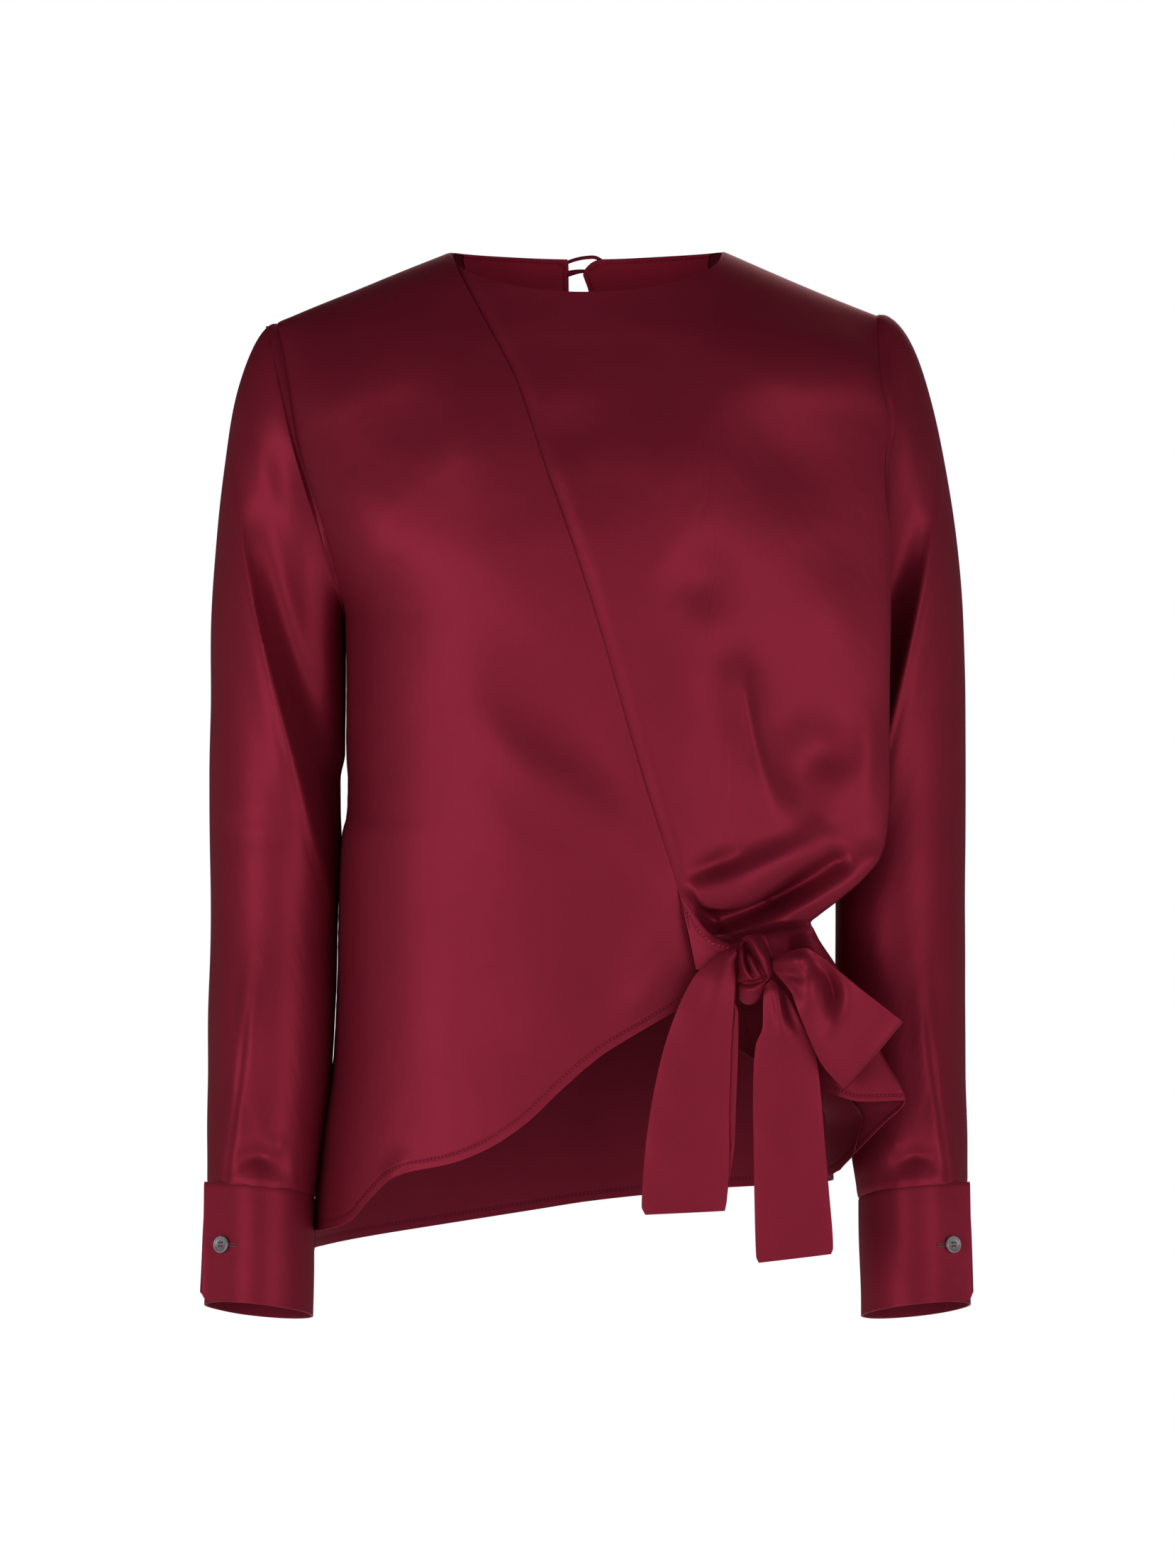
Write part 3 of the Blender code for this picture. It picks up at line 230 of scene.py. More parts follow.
def cubic(u, step, start, end, slope_start, slope_end):
    """Value at a share u of a step, from the values and slopes at its two ends."""
    return ((1 + 2 * u) * (1 - u) ** 2 * start + u * (1 - u) ** 2 * step * slope_start
            + u * u * (3 - 2 * u) * end + u * u * (u - 1) * step * slope_end)


def smooth_curve(keys, values, where):
    """Cubic through the values that never overshoots them."""
    where = np.clip(np.asarray(where, dtype=float), keys[0], keys[-1])
    step = np.diff(keys)
    slope = np.diff(values) / step
    tangent = np.zeros(len(keys))
    tangent[0], tangent[-1] = slope[0], slope[-1]
    for k in range(1, len(keys) - 1):
        before, after = slope[k - 1], slope[k]
        if before * after > 0:
            tangent[k] = 2 * before * after / (before + after)
    k = np.clip(np.searchsorted(keys, where) - 1, 0, len(step) - 1)
    u = (where - keys[k]) / step[k]
    return cubic(u, step[k], values[k], values[k + 1], tangent[k], tangent[k + 1])


class Table:
    """Rows of named numbers, read as smooth curves along the first column."""

    def __init__(self, columns, rows):
        ordered = np.array(sorted(rows), dtype=float)
        self.keys = ordered[:, 0]
        self.columns = {name: ordered[:, place] for place, name in enumerate(columns)}

    def at(self, name, where):
        return smooth_curve(self.keys, self.columns[name], where)


def smooth_step(x):
    x = np.clip(x, 0.0, 1.0)
    return x * x * (3 - 2 * x)


# Half widths and depths of the body at each height
BODY = Table(("z", "left", "right", "front", "back"), (
    (40, 212, 203, 60, 64),
    (0, 212, 203, 62, 66),
    (-30, 212, 203, 68, 80),
    (-60, 210, 202, 82, 93),
    (-100, 205, 200, 101, 104),
    (-150, 196, 192, 116, 111),
    (-200, 183, 181, 125, 112),
    (-244, 161.5, 165, 127, 109),
    (-300, 160.6, 163, 124, 105),
    (-332, 160.4, 162.5, 122, 103),
    (-350, 159.5, 162, 121, 102),
    (-372, 160.0, 160, 120, 102),
    (-386, 163.0, 158.5, 119.5, 101),
    (-400, 163.8, 157, 119, 101),
    (-444, 165.4, 143, 116, 103),
    (-475, 166.6, 147, 114, 105),
    (-530, 169.0, 157, 112, 109),
    (-590, 176.4, 163, 112, 113),
    (-640, 180.8, 165, 112, 116),
    (-670, 182.6, 166, 112, 117),
))

# The slit at the back of the neck, seen from behind it: its two edges at each height
SLIT = Table(("z", "left", "right"), (
    (2, -17.0, 14.0), (-1.7, -13.4, 8.6), (-4, -12.8, 3.0), (-7.8, -12.6, -1.1),
    (-11.1, -12.6, -2.8), (-15.9, -12.5, -1.0), (-22.6, -12.4, 0.9), (-50, -11.5, 1.2),
    (-90, -9.2, -1.8), (-120, -6, -6),
))

# Rim of the hanging side fold: it swings out over the sleeve, pinches in at the tie
# and flares again at the hem
LOBE = Table(("z", "x", "y", "spread"), (
    (-42, 197, -40, 15),
    (-105, 194, -48, 15),
    (-165, 196, -59, 16),
    (-240, 196.5, -66, 16),
    (-350, 196.5, -70, 15),
    (-385, 194.5, -73, 14),
    (-400, 191, -77, 13),
    (-415, 180, -81, 12),
    (-430, 163, -85, 12),
    (-441, 148.6, -87, 12),
    (-444, 145, -88, 12),
    (-446.5, 146.6, -88, 12),
    (-455, 151.5, -90, 10),
    (-471, 162, -92, 9),
    (-500, 176, -95, 9),
    (-530, 192, -99, 9),
    (-559, 207.5, -102, 9),
    (-577, 193.5, -103, 12),
    (-595, 184.5, -104, 12),
    (-610, 180, -105, 12),
    (-670, 176, -108, 12),
))

# Side seam on the wearer's left, which runs round to the flared rim at the hem
LEFT_SIDE_SEAM = Table(("z", "angle"), (
    (-244, 0), (-300, -1), (-380, -8), (-444, -22), (-480, -27), (-520, -29), (-670, -30),
))

# Where the sleeves are sewn in, seen from the front
ARMHOLE_RIGHT_ARM = Table(("z", "x"), (
    (-49, 205), (-64, 201.5), (-89, 197), (-125, 190.5), (-157, 181.5),
    (-187, 172.5), (-208, 167.5), (-228, 163), (-244, 161.4),
))
ARMHOLE_LEFT_BACK = Table(("z", "x"), (
    (-42, 193), (-80, 186), (-125, 178), (-160, 172), (-200, 167), (-228, 165), (-244, 164.8),
))
LEFT_ARMHOLE_TURN = -165.0

# Free edge of the front that lies on top, and of the layer below it as far as it shows
EDGE_ABOVE_WAIST = (
    (0, -90), (-7, -88), (-36, -74), (-66, -58), (-87, -47.5), (-112, -38.7), (-145, -28),
    (-190, -12), (-244, 5.5), (-350, 36.4), (-399, 52),
)
WRAP_EDGE = Table(("z", "x"), EDGE_ABOVE_WAIST + (
    (-421, 59), (-438, 63.2), (-474, 71), (-491, 79.4),
))
UNDER_EDGE = Table(("z", "x"), EDGE_ABOVE_WAIST + (
    (-421, 59.5), (-441, 72.3), (-453, 83), (-461, 92),
))

# Hems, by the distance from the middle, and where they meet the side seam
FRONT_CORNER = -648.0
BACK_CORNER = -662.0
FRONT_HEM = Table(("x", "z"), (
    (-180, FRONT_CORNER), (-167, -644.5), (-155, -638.5), (-147, -629), (-138.5, -620), (-130, -612),
    (-117, -606.5), (-89.5, -600.5), (-66.5, -591.5), (-41, -575), (-16, -551.5),
    (9, -530), (34, -514.5), (58, -501), (79.4, -491),
))
PEPLUM_HEM = Table(("x", "z"), (
    (99.4, -526.8), (108.6, -532.8), (126, -541.6), (153, -552.7), (165, -557),
    (178, -560), (194, -559.6), (207.5, -559),
))
BACK_HEM = Table(("x", "z"), (
    (-181, BACK_CORNER), (-149, -657.0), (-107, -651), (-69, -645.6), (-34, -640.4), (1, -635),
    (35, -631), (98, -624.6), (163, -617.4),
))

# How far round the left side seam the back starts
SEAM_TURN = 0.2

# Free edge of the part below the roll by x and z, and the back's hem by angle and height where
# it runs round to the flared rim
PEPLUM_OPENING = ((88, -465), (97, -475), (99.4, -492), (99.4, -526.8))
BACK_HEM_CORNER = [(14.0, -618.0), (-2.0, -615.0), (-14.0, -612.0), (-22.0, -610.0),
                   (-26.0, -606.0), (-28.5, -599.0)]

# Heights of the rows of the draped front at its free edge and at the rim; the last ones
# follow the rolls above the tie
DRAPE_ROWS = Table(("row", "edge_z", "rim_z"), (
    (0, 0, -42), (1, -10, -50), (2, -24, -59), (3, -42, -70), (4, -66, -83), (5, -94, -98),
    (6, -126, -117), (7, -160, -140), (8, -200, -165), (9, -240, -205), (10, -280, -245),
    (11, -316, -285), (12, -348, -317), (13, -376, -340), (14, -398, -357), (15, -411, -368),
    (16, -421, -377), (17, -429, -384), (18, -437, -390), (19, -443.5, -396), (20, -447.5, -403),
    (21, -450.5, -413), (22, -453, -426), (23, -455, -441),
))
ROW_BEND = 1.35

# Columns and rows of the panels' grids, crowded towards the shoulders
DRAPE_COLUMNS = 17
BEHIND_COLUMNS = 6
BACK_COLUMNS = 26
PANEL_ROWS = 21
CLOSE_LINES = (0.0025, 0.006, 0.011)

# Lower edge of the roll above the tie
ROLL_STEPS = (74, 140)
ROLL_EDGE = Table(("x", "z"), (
    (60, -440), (74, -455), (84, -453), (111.5, -446), (130, -442.5), (146, -441), (200, -441),
))
ROLL_TUCK = Table(("x", "depth"), (
    (60, 0), (80, 14), (95, 25), (128, 24), (146, 9), (165, 0),
))

# Largest folds, in the columns of the fold tables above
DRAPE_FOLDS = (
    (60, -421, 98, -422, 152, -388, 11, 11, 0.35, 0.30),
    (80, -443, 112, -436, 162, -404, -24, 8.0, 0.60, 0.40),
    (67, -427, 77, -438, 84, -447, -8, 5, 0.40, 0.70),
    (86, -450, 132, -442, 186, -406, 5, 9, 0.40, 0.50),
    (66, -414, 84, -406, 106, -396, -6, 7, 0.50, 0.00),
    (98, -240, 97, -320, 121, -370, 3, 12, 0.00, 0.50),
    (116, -315, 136, -348, 154, -380, -6, 15, 0.00, 0.40),
    (185, -290, 184, -330, 184, -375, 3, 9, 0.00, 0.30),
)
WRAP_FOLDS = (
    (-70, -240, 0, -310, 52, -418, -4, 16, 0.00, 0.30),
    (-95, -290, -20, -350, 50, -425, 4, 18, 0.00, 0.30),
    (20, -520, 40, -480, 64, -445, -4, 14, 0.00, 0.40),
)
SLEEVE_FOLDS = (
    (238, -140, 219, -255, 166, -440, 8, 13, 0.00, 0.35),
    (236, -612, 224, -540, 219, -450, 5, 9, 0.70, 0.00),
    (200, -592, 212, -604, 222, -602, -2.5, 10, 0.30, 0.30),
    (214, -110, 196, -150, 188, -205, -4, 10, 0.00, 0.20),
    (221, -130, 203, -240, 156, -410, -19.0, 17, 0.00, 0.30),
    (237, -142, 218, -255, 165, -440, 4.2, 3.2, 0.20, 0.40),
    (238, -617, 228, -548, 218, -470, -1.6, 2.2, 0.90, 0.10),
    (234, -608, 214, -585, 199, -607, -4.5, 5.5, 0.20, 0.20),
    (224, -617, 214, -609, 205, -617, 1.6, 4.0, 0.50, 0.50),
    (246, -350, 240, -470, 232, -600, 1.5, 7, 0.00, 0.00),
    (232, -470, 226, -520, 224, -590, -2.0, 6, 0.00, 0.20),
    (214, -606, 206, -590, 196, -584, 1.8, 5, 0.30, 0.00),
)

# Sleeve rings: widths from the middle of the body, depth, and how far a ring leans
SLEEVE_COLUMNS = ("z", "outer", "inner", "centre_y", "half_depth", "lean", "cant")
SLEEVE_RIGHT_ARM = Table(SLEEVE_COLUMNS, (
    (-300, 250.3, 161.2, 5, 56, 0.00, 0.00),
    (-332, 250.4, 161.2, 5, 56, 0.00, 0.00),
    (-350, 250.5, 164.3, 5, 56, 0.00, 0.00),
    (-372, 250.5, 164.0, 4, 56, 0.00, 0.00),
    (-386, 250.5, 163.4, 4, 55, 0.01, 0.00),
    (-400, 250.5, 164.0, 3, 55, 0.02, 0.00),
    (-440, 250.5, 165.6, 1, 54, 0.04, 0.00),
    (-500, 250.7, 167.8, -5, 53, 0.07, 0.00),
    (-545, 250.9, 170.2, -10, 51, 0.11, 0.03),
    (-592, 251.5, 175.5, -17, 49, 0.14, 0.07),
    (-622, 251.5, 179.0, -22, 46, 0.15, 0.10),
    (-704, 252.5, 180.7, -34, 46, 0.15, 0.10),
))
SLEEVE_LEFT_ARM = Table(SLEEVE_COLUMNS, (
    (-300, 250.3, 166.0, 22, 54, 0.00, 0.00),
    (-350, 250.5, 165.0, 18, 54, 0.00, 0.00),
    (-400, 250.5, 164.5, 12, 54, 0.02, 0.00),
    (-440, 250.5, 164.5, 7, 53, 0.04, 0.00),
    (-500, 250.7, 165.5, -1, 52, 0.07, 0.00),
    (-545, 250.9, 169.5, -8, 51, 0.11, 0.03),
    (-592, 251.5, 175.0, -16, 49, 0.14, 0.07),
    (-622, 251.5, 179.0, -22, 46, 0.15, 0.10),
    (-704, 252.5, 180.5, -34, 46, 0.15, 0.10),
))

# The strap, the two hanging ends and the loop of the tie, edge by edge
RIBBON_COLUMNS = ("along", "x0", "z0", "x1", "z1", "y")
STRAP = Table(RIBBON_COLUMNS, (
    (0, 59.6, -421.5, 71.0, -474.0, -112.0),
    (30, 71.5, -441.0, 80.5, -471.0, -114.5),
    (60, 83.0, -453.0, 89.0, -468.5, -115.5),
    (100, 97.4, -459.5, 97.8, -467.0, -115.5),
))
TAIL_RIGHT = Table(RIBBON_COLUMNS, (
    (0, 96.8, -459.6, 96.8, -466.0, -119.2),
    (6, 89.0, -461.5, 95.6, -470.8, -121.5),
    (12, 79.2, -467.6, 95.6, -478.2, -123.5),
    (19, 69.5, -478.2, 95.4, -487.4, -124.5),
    (29, 60.1, -496.0, 94.6, -502.1, -124.5),
    (44, 49.6, -525.4, 93.0, -529.7, -123.0),
    (63, 41.1, -565.5, 92.1, -566.5, -121.0),
    (80, 37.0, -599.2, 91.8, -598.8, -120.0),
    (94, 35.4, -627.6, 90.5, -624.5, -119.0),
    (97, 37.7, -633.0, 89.3, -630.5, -119.0),
))
TAIL_LEFT = Table(RIBBON_COLUMNS, (
    (0, 115.6, -485.2, 119.8, -480.1, -120.7),
    (6, 114.5, -491.5, 127.5, -487.0, -123.5),
    (15, 114.0, -509.9, 139.0, -509.0, -124.0),
    (25, 109.5, -523.0, 147.3, -527.0, -122.5),
    (35, 108.0, -540.0, 150.1, -539.8, -121.0),
    (48, 107.7, -561.9, 152.4, -561.5, -119.5),
    (64, 108.2, -589.6, 154.7, -589.6, -118.5),
    (80, 108.6, -617.2, 157.0, -617.2, -118.0),
    (97, 109.8, -660.0, 159.8, -654.5, -117.5),
    (100, 111.5, -664.3, 158.5, -658.6, -117.5),
))
BOW_LOOP = Table(RIBBON_COLUMNS, (
    (0, 120.8, -474.0, 120.8, -467.0, -120.9),
    (5, 127.4, -481.5, 129.5, -462.5, -128.0),
    (12, 132.5, -489.0, 141.0, -459.5, -133.0),
    (20, 137.5, -502.0, 152.5, -465.0, -135.0),
    (28, 143.5, -516.7, 163.0, -474.0, -133.0),
    (36, 151.3, -533.7, 176.1, -484.9, -130.0),
    (44, 159.1, -543.3, 190.4, -496.0, -127.5),
    (50, 166.3, -550.5, 203.6, -506.5, -124.8),
    (52, 167.1, -551.2, 204.6, -507.5, -121.0),
    (54, 166.3, -550.5, 203.6, -506.5, -117.2),
    (64, 156.0, -538.0, 185.0, -493.0, -114.0),
    (76, 143.0, -513.0, 162.0, -476.0, -112.5),
    (88, 132.0, -490.0, 143.0, -467.0, -112.0),
    (100, 124.0, -478.0, 126.0, -470.0, -112.0),
))
LOOP_FOLDS = (
    (147, -467, 167, -485, 156, -511, -12, 6.0, 0.40, 0.10),
    (124, -470, 136, -468, 148, -466, 3, 5, 0.50, 0.00),
    (124, -473, 134, -477, 145, -481, -3, 4, 0.60, 0.00),
    (124, -474, 133, -486, 141, -498, -1.6, 2.5, 0.60, 0.00),
    (125, -469, 140, -463, 156, -471, 1.2, 4.0, 0.40, 0.00),
    (135, -466, 148, -486, 143, -508, 2.6, 6.0, 0.30, 0.10),
)

# Under layer that shows beyond the edge of the right end
TAIL_LIP = Table(("along", "width"), (
    (0, 0.05), (22, 0.05), (29, 3.4), (45, 4.9), (72, 4.0), (92, 0.1), (97, 0.05),
))
LIP_DROP = 2.0

# Where the loop turns back
LOOP_TURN = 52.0

# The knot, ring by ring from its top to its bottom
KNOT = Table(("z", "x", "half_x", "half_y"), (
    (-449.5, 110, 3, 3),
    (-451.5, 109.5, 7, 6),
    (-457, 109, 9.8, 9.5),
    (-466, 109.3, 12, 12.5),
    (-475, 109, 12.2, 13),
    (-484, 107.2, 10.2, 11.5),
    (-491, 106, 8.5, 9),
    (-494.0, 105.6, 6.2, 6.6),
    (-496.0, 105.4, 3.4, 3.6),
    (-496.6, 105.3, 1.2, 1.2),
))
KNOT_Y = -115.0
KNOT_MIDDLE = 108.0
KNOT_FOLDS = (
    (105, -449, 112.5, -461, 119.5, -477, 4.5, 4.0, 0.70, 0.50),
    (102.5, -454, 108.0, -464, 115, -478, -5.0, 1.6, 0.80, 0.60),
    (113, -451, 119.5, -462, 121.5, -473, -3.4, 1.7, 0.40, 0.80),
    (99.5, -461, 100.0, -474, 106.5, -480, 3.4, 2.0, 0.70, 0.50),
    (102.6, -461, 103.0, -472, 108, -478, -4.4, 1.1, 0.90, 0.40),
    (105.4, -463, 106.5, -471, 112, -477, 2.8, 1.7, 0.70, 0.50),
    (98, -482, 106, -483.5, 116, -479, -4.0, 1.7, 0.60, 0.70),
    (100, -488, 106, -487.5, 113, -486, 2.4, 3.2, 0.50, 0.30),
    (103.0, -458.0, 104.3, -460, 105, -462, -6.5, 2.0, 1.00, 1.00),
    (98.0, -466, 97.0, -474, 100, -481, -2.4, 1.2, 0.60, 0.60),
)


def fold_height(folds, x, z):
    """Height of a set of soft folds over points of the front view."""
    total = np.zeros(np.broadcast(x, z).shape)
    pieces = 14
    share = np.linspace(0, 1, pieces + 1)
    for x0, z0, x1, z1, x2, z2, height, width, start, end in folds:
        line_x = (1 - share) ** 2 * x0 + 2 * share * (1 - share) * x1 + share ** 2 * x2
        line_z = (1 - share) ** 2 * z0 + 2 * share * (1 - share) * z1 + share ** 2 * z2
        nearest = np.full(total.shape, 1e9)
        place = np.zeros(total.shape)
        for k in range(pieces):
            run_x, run_z = line_x[k + 1] - line_x[k], line_z[k + 1] - line_z[k]
            length = run_x * run_x + run_z * run_z
            along = np.clip(((x - line_x[k]) * run_x + (z - line_z[k]) * run_z) / length, 0, 1)
            away = np.hypot(x - line_x[k] - along * run_x, z - line_z[k] - along * run_z)
            closer = away < nearest
            nearest = np.where(closer, away, nearest)
            place = np.where(closer, share[k] + along / pieces, place)
        rise = np.where(place < 0.5, start + (1 - start) * smooth_step(place * 2),
                        end + (1 - end) * smooth_step((1 - place) * 2))
        total += height * rise * np.exp(-(nearest / width) ** 2)
    return total


def full_turn(count):
    return np.linspace(0, 2 * math.pi, count, endpoint=False)


def power(value, exponent):
    return np.sign(value) * np.abs(value) ** exponent


def shoulder_line(x):
    return -(np.abs(x) - NECK_HALF) * SHOULDER_FALL


def plain_body(angle, z):
    """Body of the blouse without its hanging side fold."""
    turn = np.radians(angle)
    across, deep = power(np.cos(turn), 2 / SQUARENESS), power(np.sin(turn), 2 / SQUARENESS)
    x = across * np.where(across > 0, BODY.at("right", z), BODY.at("left", z))
    below = np.clip(shoulder_line(x) - z, 0, SHOULDER_ROUND) / SHOULDER_ROUND
    rounding = np.sqrt(1 - (1 - below) ** 2)
    y = deep * rounding * np.where(deep > 0, BODY.at("back", z), BODY.at("front", z))
    return x, y


def body(angle, z):
    """Outer surface of the blouse's body; angle -90 is the front and 90 the back."""
    angle, z = np.broadcast_arrays(np.asarray(angle, dtype=float), np.asarray(z, dtype=float))
    x, y = plain_body(angle, z)
    base_x, base_y = plain_body(np.full(z.shape, LOBE_ANGLE), z)
    grown = smooth_step((LOBE_TOP - z) / LOBE_GROWTH)
    pull = grown * np.exp(-((angle - LOBE_ANGLE) / LOBE.at("spread", z)) ** 2)
    x = x + pull * (LOBE.at("x", z) - base_x)
    y = y + pull * (LOBE.at("y", z) - base_y)
    return np.stack([x, y, z], axis=-1)


def wrap_form(angle, z):
    """Form of the front that lies on top."""
    point = body(angle, z)
    point[..., 1] -= HALF_SEAM + fold_height(WRAP_FOLDS, point[..., 0], point[..., 2])
    soft = fold_height(SOFT_WRAP_FOLDS, point[..., 0], point[..., 2])
    point[..., 1] -= soft * smooth_step((-point[..., 1] - FADE_START) / FADE_REACH)
    return point


def drape_form(angle, z):
    """Form of the draped front: folds, the roll above the tie and the part below it."""
    point = body(angle, z)
    x, z = point[..., 0], point[..., 2]
    from_edge = x - UNDER_EDGE.at("x", z)
    clear = smooth_step((from_edge - 1) / 10)
    in_front = smooth_step((-point[..., 1] - FADE_START) / FADE_REACH)
    soft_drape = in_front * fold_height(SOFT_DRAPE_FOLDS, x, z)
    soft_wrap = in_front * fold_height(SOFT_WRAP_FOLDS, x, z)
    folds = (clear * (fold_height(DRAPE_FOLDS, x, z) + soft_drape)
             + (1 - clear) * (fold_height(WRAP_FOLDS, x, z) + soft_wrap))
    under_roll = ROLL_EDGE.at("z", x) - z
    tuck = ROLL_TUCK.at("depth", x) * smooth_step(under_roll / ROLL_STEP)
    tuck = tuck * (1 - PEPLUM_RECOVERY * smooth_step((under_roll - 10) / 110))
    before_rim = smooth_step((LOBE_ANGLE + 8 - angle) / 16)
    point[..., 1] += before_rim * (tuck - folds) - HALF_SEAM
    point[..., 2] -= clear * before_rim * fold_height(ROLL_OVERHANG, x, z)
    return point


def back_form(angle, z):
    point = body(angle, z)
    folds = fold_height(BACK_FOLDS, point[..., 0], point[..., 2])
    point[..., 1] += folds * smooth_step((point[..., 1] - FADE_START) / FADE_REACH)
    point[..., 1] += HALF_SEAM * smooth_step((angle + 12) / 12)
    return point


def unit(vector):
    return vector / np.maximum(np.linalg.norm(vector, axis=-1, keepdims=True), 1e-9)


def form_normal(form, angle, z):
    around = form(angle + 0.4, z) - form(angle - 0.4, z)
    upward = form(angle, z + 1.0) - form(angle, z - 1.0)
    return unit(np.cross(around, upward))


def front_angle(x, z):
    """Angle at which the front reaches a distance x from the middle."""
    turns = np.linspace(-179.5, -4, 700)
    reach = np.maximum.accumulate(body(turns, np.full(turns.shape, float(z)))[..., 0])
    return float(np.interp(x, reach, turns))


def back_angle(x, z):
    turns = np.linspace(180, 0, 700)
    reach = body(turns, np.full(turns.shape, float(z)))[..., 0]
    return float(np.interp(x, reach, turns))


def polyline(points):
    """Curve through angle and height pairs, read by the share of its length."""
    points = np.array(points, dtype=float)
    step = np.hypot(np.diff(points[:, 0]) * 2.2, np.diff(points[:, 1]))
    share = np.concatenate([[0], np.cumsum(step)]) / step.sum()
    return lambda s: np.stack([np.interp(s, share, points[:, 0]),
                               np.interp(s, share, points[:, 1])], axis=-1)


def coons(top, bottom, left, right, across, down):
    """Grid between four edge curves that share their corners. Across and down give the
    shares of its columns and rows, or of each of its points."""
    if down.ndim == 1:
        down = down[:, None]
    u, v = np.broadcast_arrays(across, down)
    t, b, lf, rt = top(u), bottom(u), left(v), right(v)
    u, v = u[..., None], v[..., None]
    corners = ((1 - u) * (1 - v) * top(0.0) + u * (1 - v) * top(1.0)
               + (1 - u) * v * bottom(0.0) + u * v * bottom(1.0))
    return (1 - v) * t + v * b + (1 - u) * lf + u * rt - corners


def spaced(count):
    return np.linspace(0, 1, count + 1)


def armhole_height(share, shoulder):
    top = float(shoulder_line(shoulder))
    return top + (UNDERARM - top) * (1 - math.cos(math.pi * share)) / 2


def armhole_left_arm(share, front):
    """Armhole on the wearer's left, from the shoulder to the underarm."""
    z = armhole_height(share, SHOULDER_RIGHT)
    if share >= 1:
        return 0.0, z
    if not front:
        return back_angle(float(ARMHOLE_LEFT_BACK.at("x", z)), z), z
    if z > LEFT_ARMHOLE_TURN:
        grown = (LOBE_TOP - z) / (LOBE_TOP - LEFT_ARMHOLE_TURN)
        start = front_angle(SHOULDER_RIGHT, float(shoulder_line(SHOULDER_RIGHT)))
        return start + (LOBE_ANGLE - start) * float(smooth_step(grown * 1.15)), z
    fall = (LEFT_ARMHOLE_TURN - z) / (LEFT_ARMHOLE_TURN - UNDERARM)
    return LOBE_ANGLE * math.sqrt(max(0.0, 1 - fall * fall)), z


def armhole_right_arm(share, front):
    """Armhole on the wearer's right, from the shoulder to the underarm."""
    z = armhole_height(share, SHOULDER_LEFT)
    x = -float(ARMHOLE_RIGHT_ARM.at("x", z))
    if share >= 1:
        return (-180.0 if front else 180.0), z
    return (front_angle(x, z) if front else back_angle(x, z)), z


def neck_front(x):
    return -NECK_DROP_FRONT * math.sqrt(max(0.0, 1 - (x / NECK_HALF) ** 2))


def neck_back(x):
    return -NECK_DROP_BACK * (1 - (x / NECK_HALF) ** 2)


def front_line(xs, height, angle_at=front_angle):
    """Angles and heights of a line across the front, from its height at each x."""
    return [(angle_at(x, height(x)), height(x)) for x in xs]


def back_line(xs, height):
    return front_line(xs, height, back_angle)


def sleeve_ring(table, turn, z):
    """Ring of a sleeve; turn runs from the outer side round the front. X is the distance
    from the middle of the body."""
    outer, inner = table.at("outer", z), table.at("inner", z)
    aside = np.cos(turn) * (outer - inner) / 2
    depth = -np.sin(turn) * table.at("half_depth", z)
    x = (outer + inner) / 2 + aside
    y = table.at("centre_y", z) + depth
    rise = table.at("cant", z) * aside - table.at("lean", z) * depth
    return np.stack(np.broadcast_arrays(x, y, z + rise), axis=-1)


def run_down(points):
    """Length along each column of a grid, from its first row."""
    step = np.linalg.norm(np.diff(points, axis=0), axis=-1)
    return np.concatenate([np.zeros((1, points.shape[1])), np.cumsum(step, axis=0)])


class Borders:
    """How far the points of a grid lie from its four borders, and how far along them."""

    def __init__(self, points):
        self.points = points
        self.down = run_down(points)
        self.across = run_down(points.transpose(1, 0, 2)).T

    def near(self, side):
        points, run = self.points, self.down
        if side in ("left", "right"):
            points, run = points.transpose(1, 0, 2), self.across.T
        last = side in ("bottom", "right")
        line = points[-1] if last else points[0]
        tangent = unit(np.gradient(line, axis=0))
        offset = points - line
        slide = np.sum(offset * tangent, axis=-1)
        straight = np.linalg.norm(offset - slide[..., None] * tangent, axis=-1)
        walked = run[-1] - run if last else run
        away = np.where(walked < 25, straight, walked)
        step = np.linalg.norm(np.diff(line, axis=0), axis=-1)
        along = np.concatenate([[0], np.cumsum(step)]) + np.where(walked < 25, slide, 0)
        if side in ("left", "right"):
            away, along = away.T, along.T
        return away, along


def waves(points, seed, count, shortest, longest):
    """Uneven low waves through space, about one high."""
    chance = np.random.default_rng(seed)
    heading = unit(chance.normal(size=(count, 3)))
    turn = 2 * math.pi / chance.uniform(shortest, longest, count)
    phase = chance.uniform(0, 2 * math.pi, count)
    return np.sin(points @ (heading * turn[:, None]).T + phase).sum(axis=-1) * math.sqrt(2 / count)


def dress(points, normal, sizes, seams=(), rise=1.0):
    """Cloth is never as even as its pattern: low waves all over, and along each seam a narrow
    dip with small puckers beside it. Rise is minus one where cloth faces cloth, so that both
    sides of a narrow space follow each other."""
    borders = Borders(points)
    lift = rise * sizes.ripple / MM * (0.85 * waves(points, 3, 14, 110, 260)
                                       + 0.15 * waves(points, 4, 14, 45, 90))
    for side in seams:
        away, along = borders.near(side)
        beat = np.sin(along / 2.1 + 2.4 * waves(points, 5, 8, 30, 70))
        beside = np.exp(-(away / 8) ** 2) * (1 - np.exp(-(away / 3) ** 2))
        lift = lift + sizes.pucker / MM * beat * beside
        lift = lift - sizes.seam_dip / MM * np.exp(-(away / 1.5) ** 2)
    return points + normal * lift[..., None]


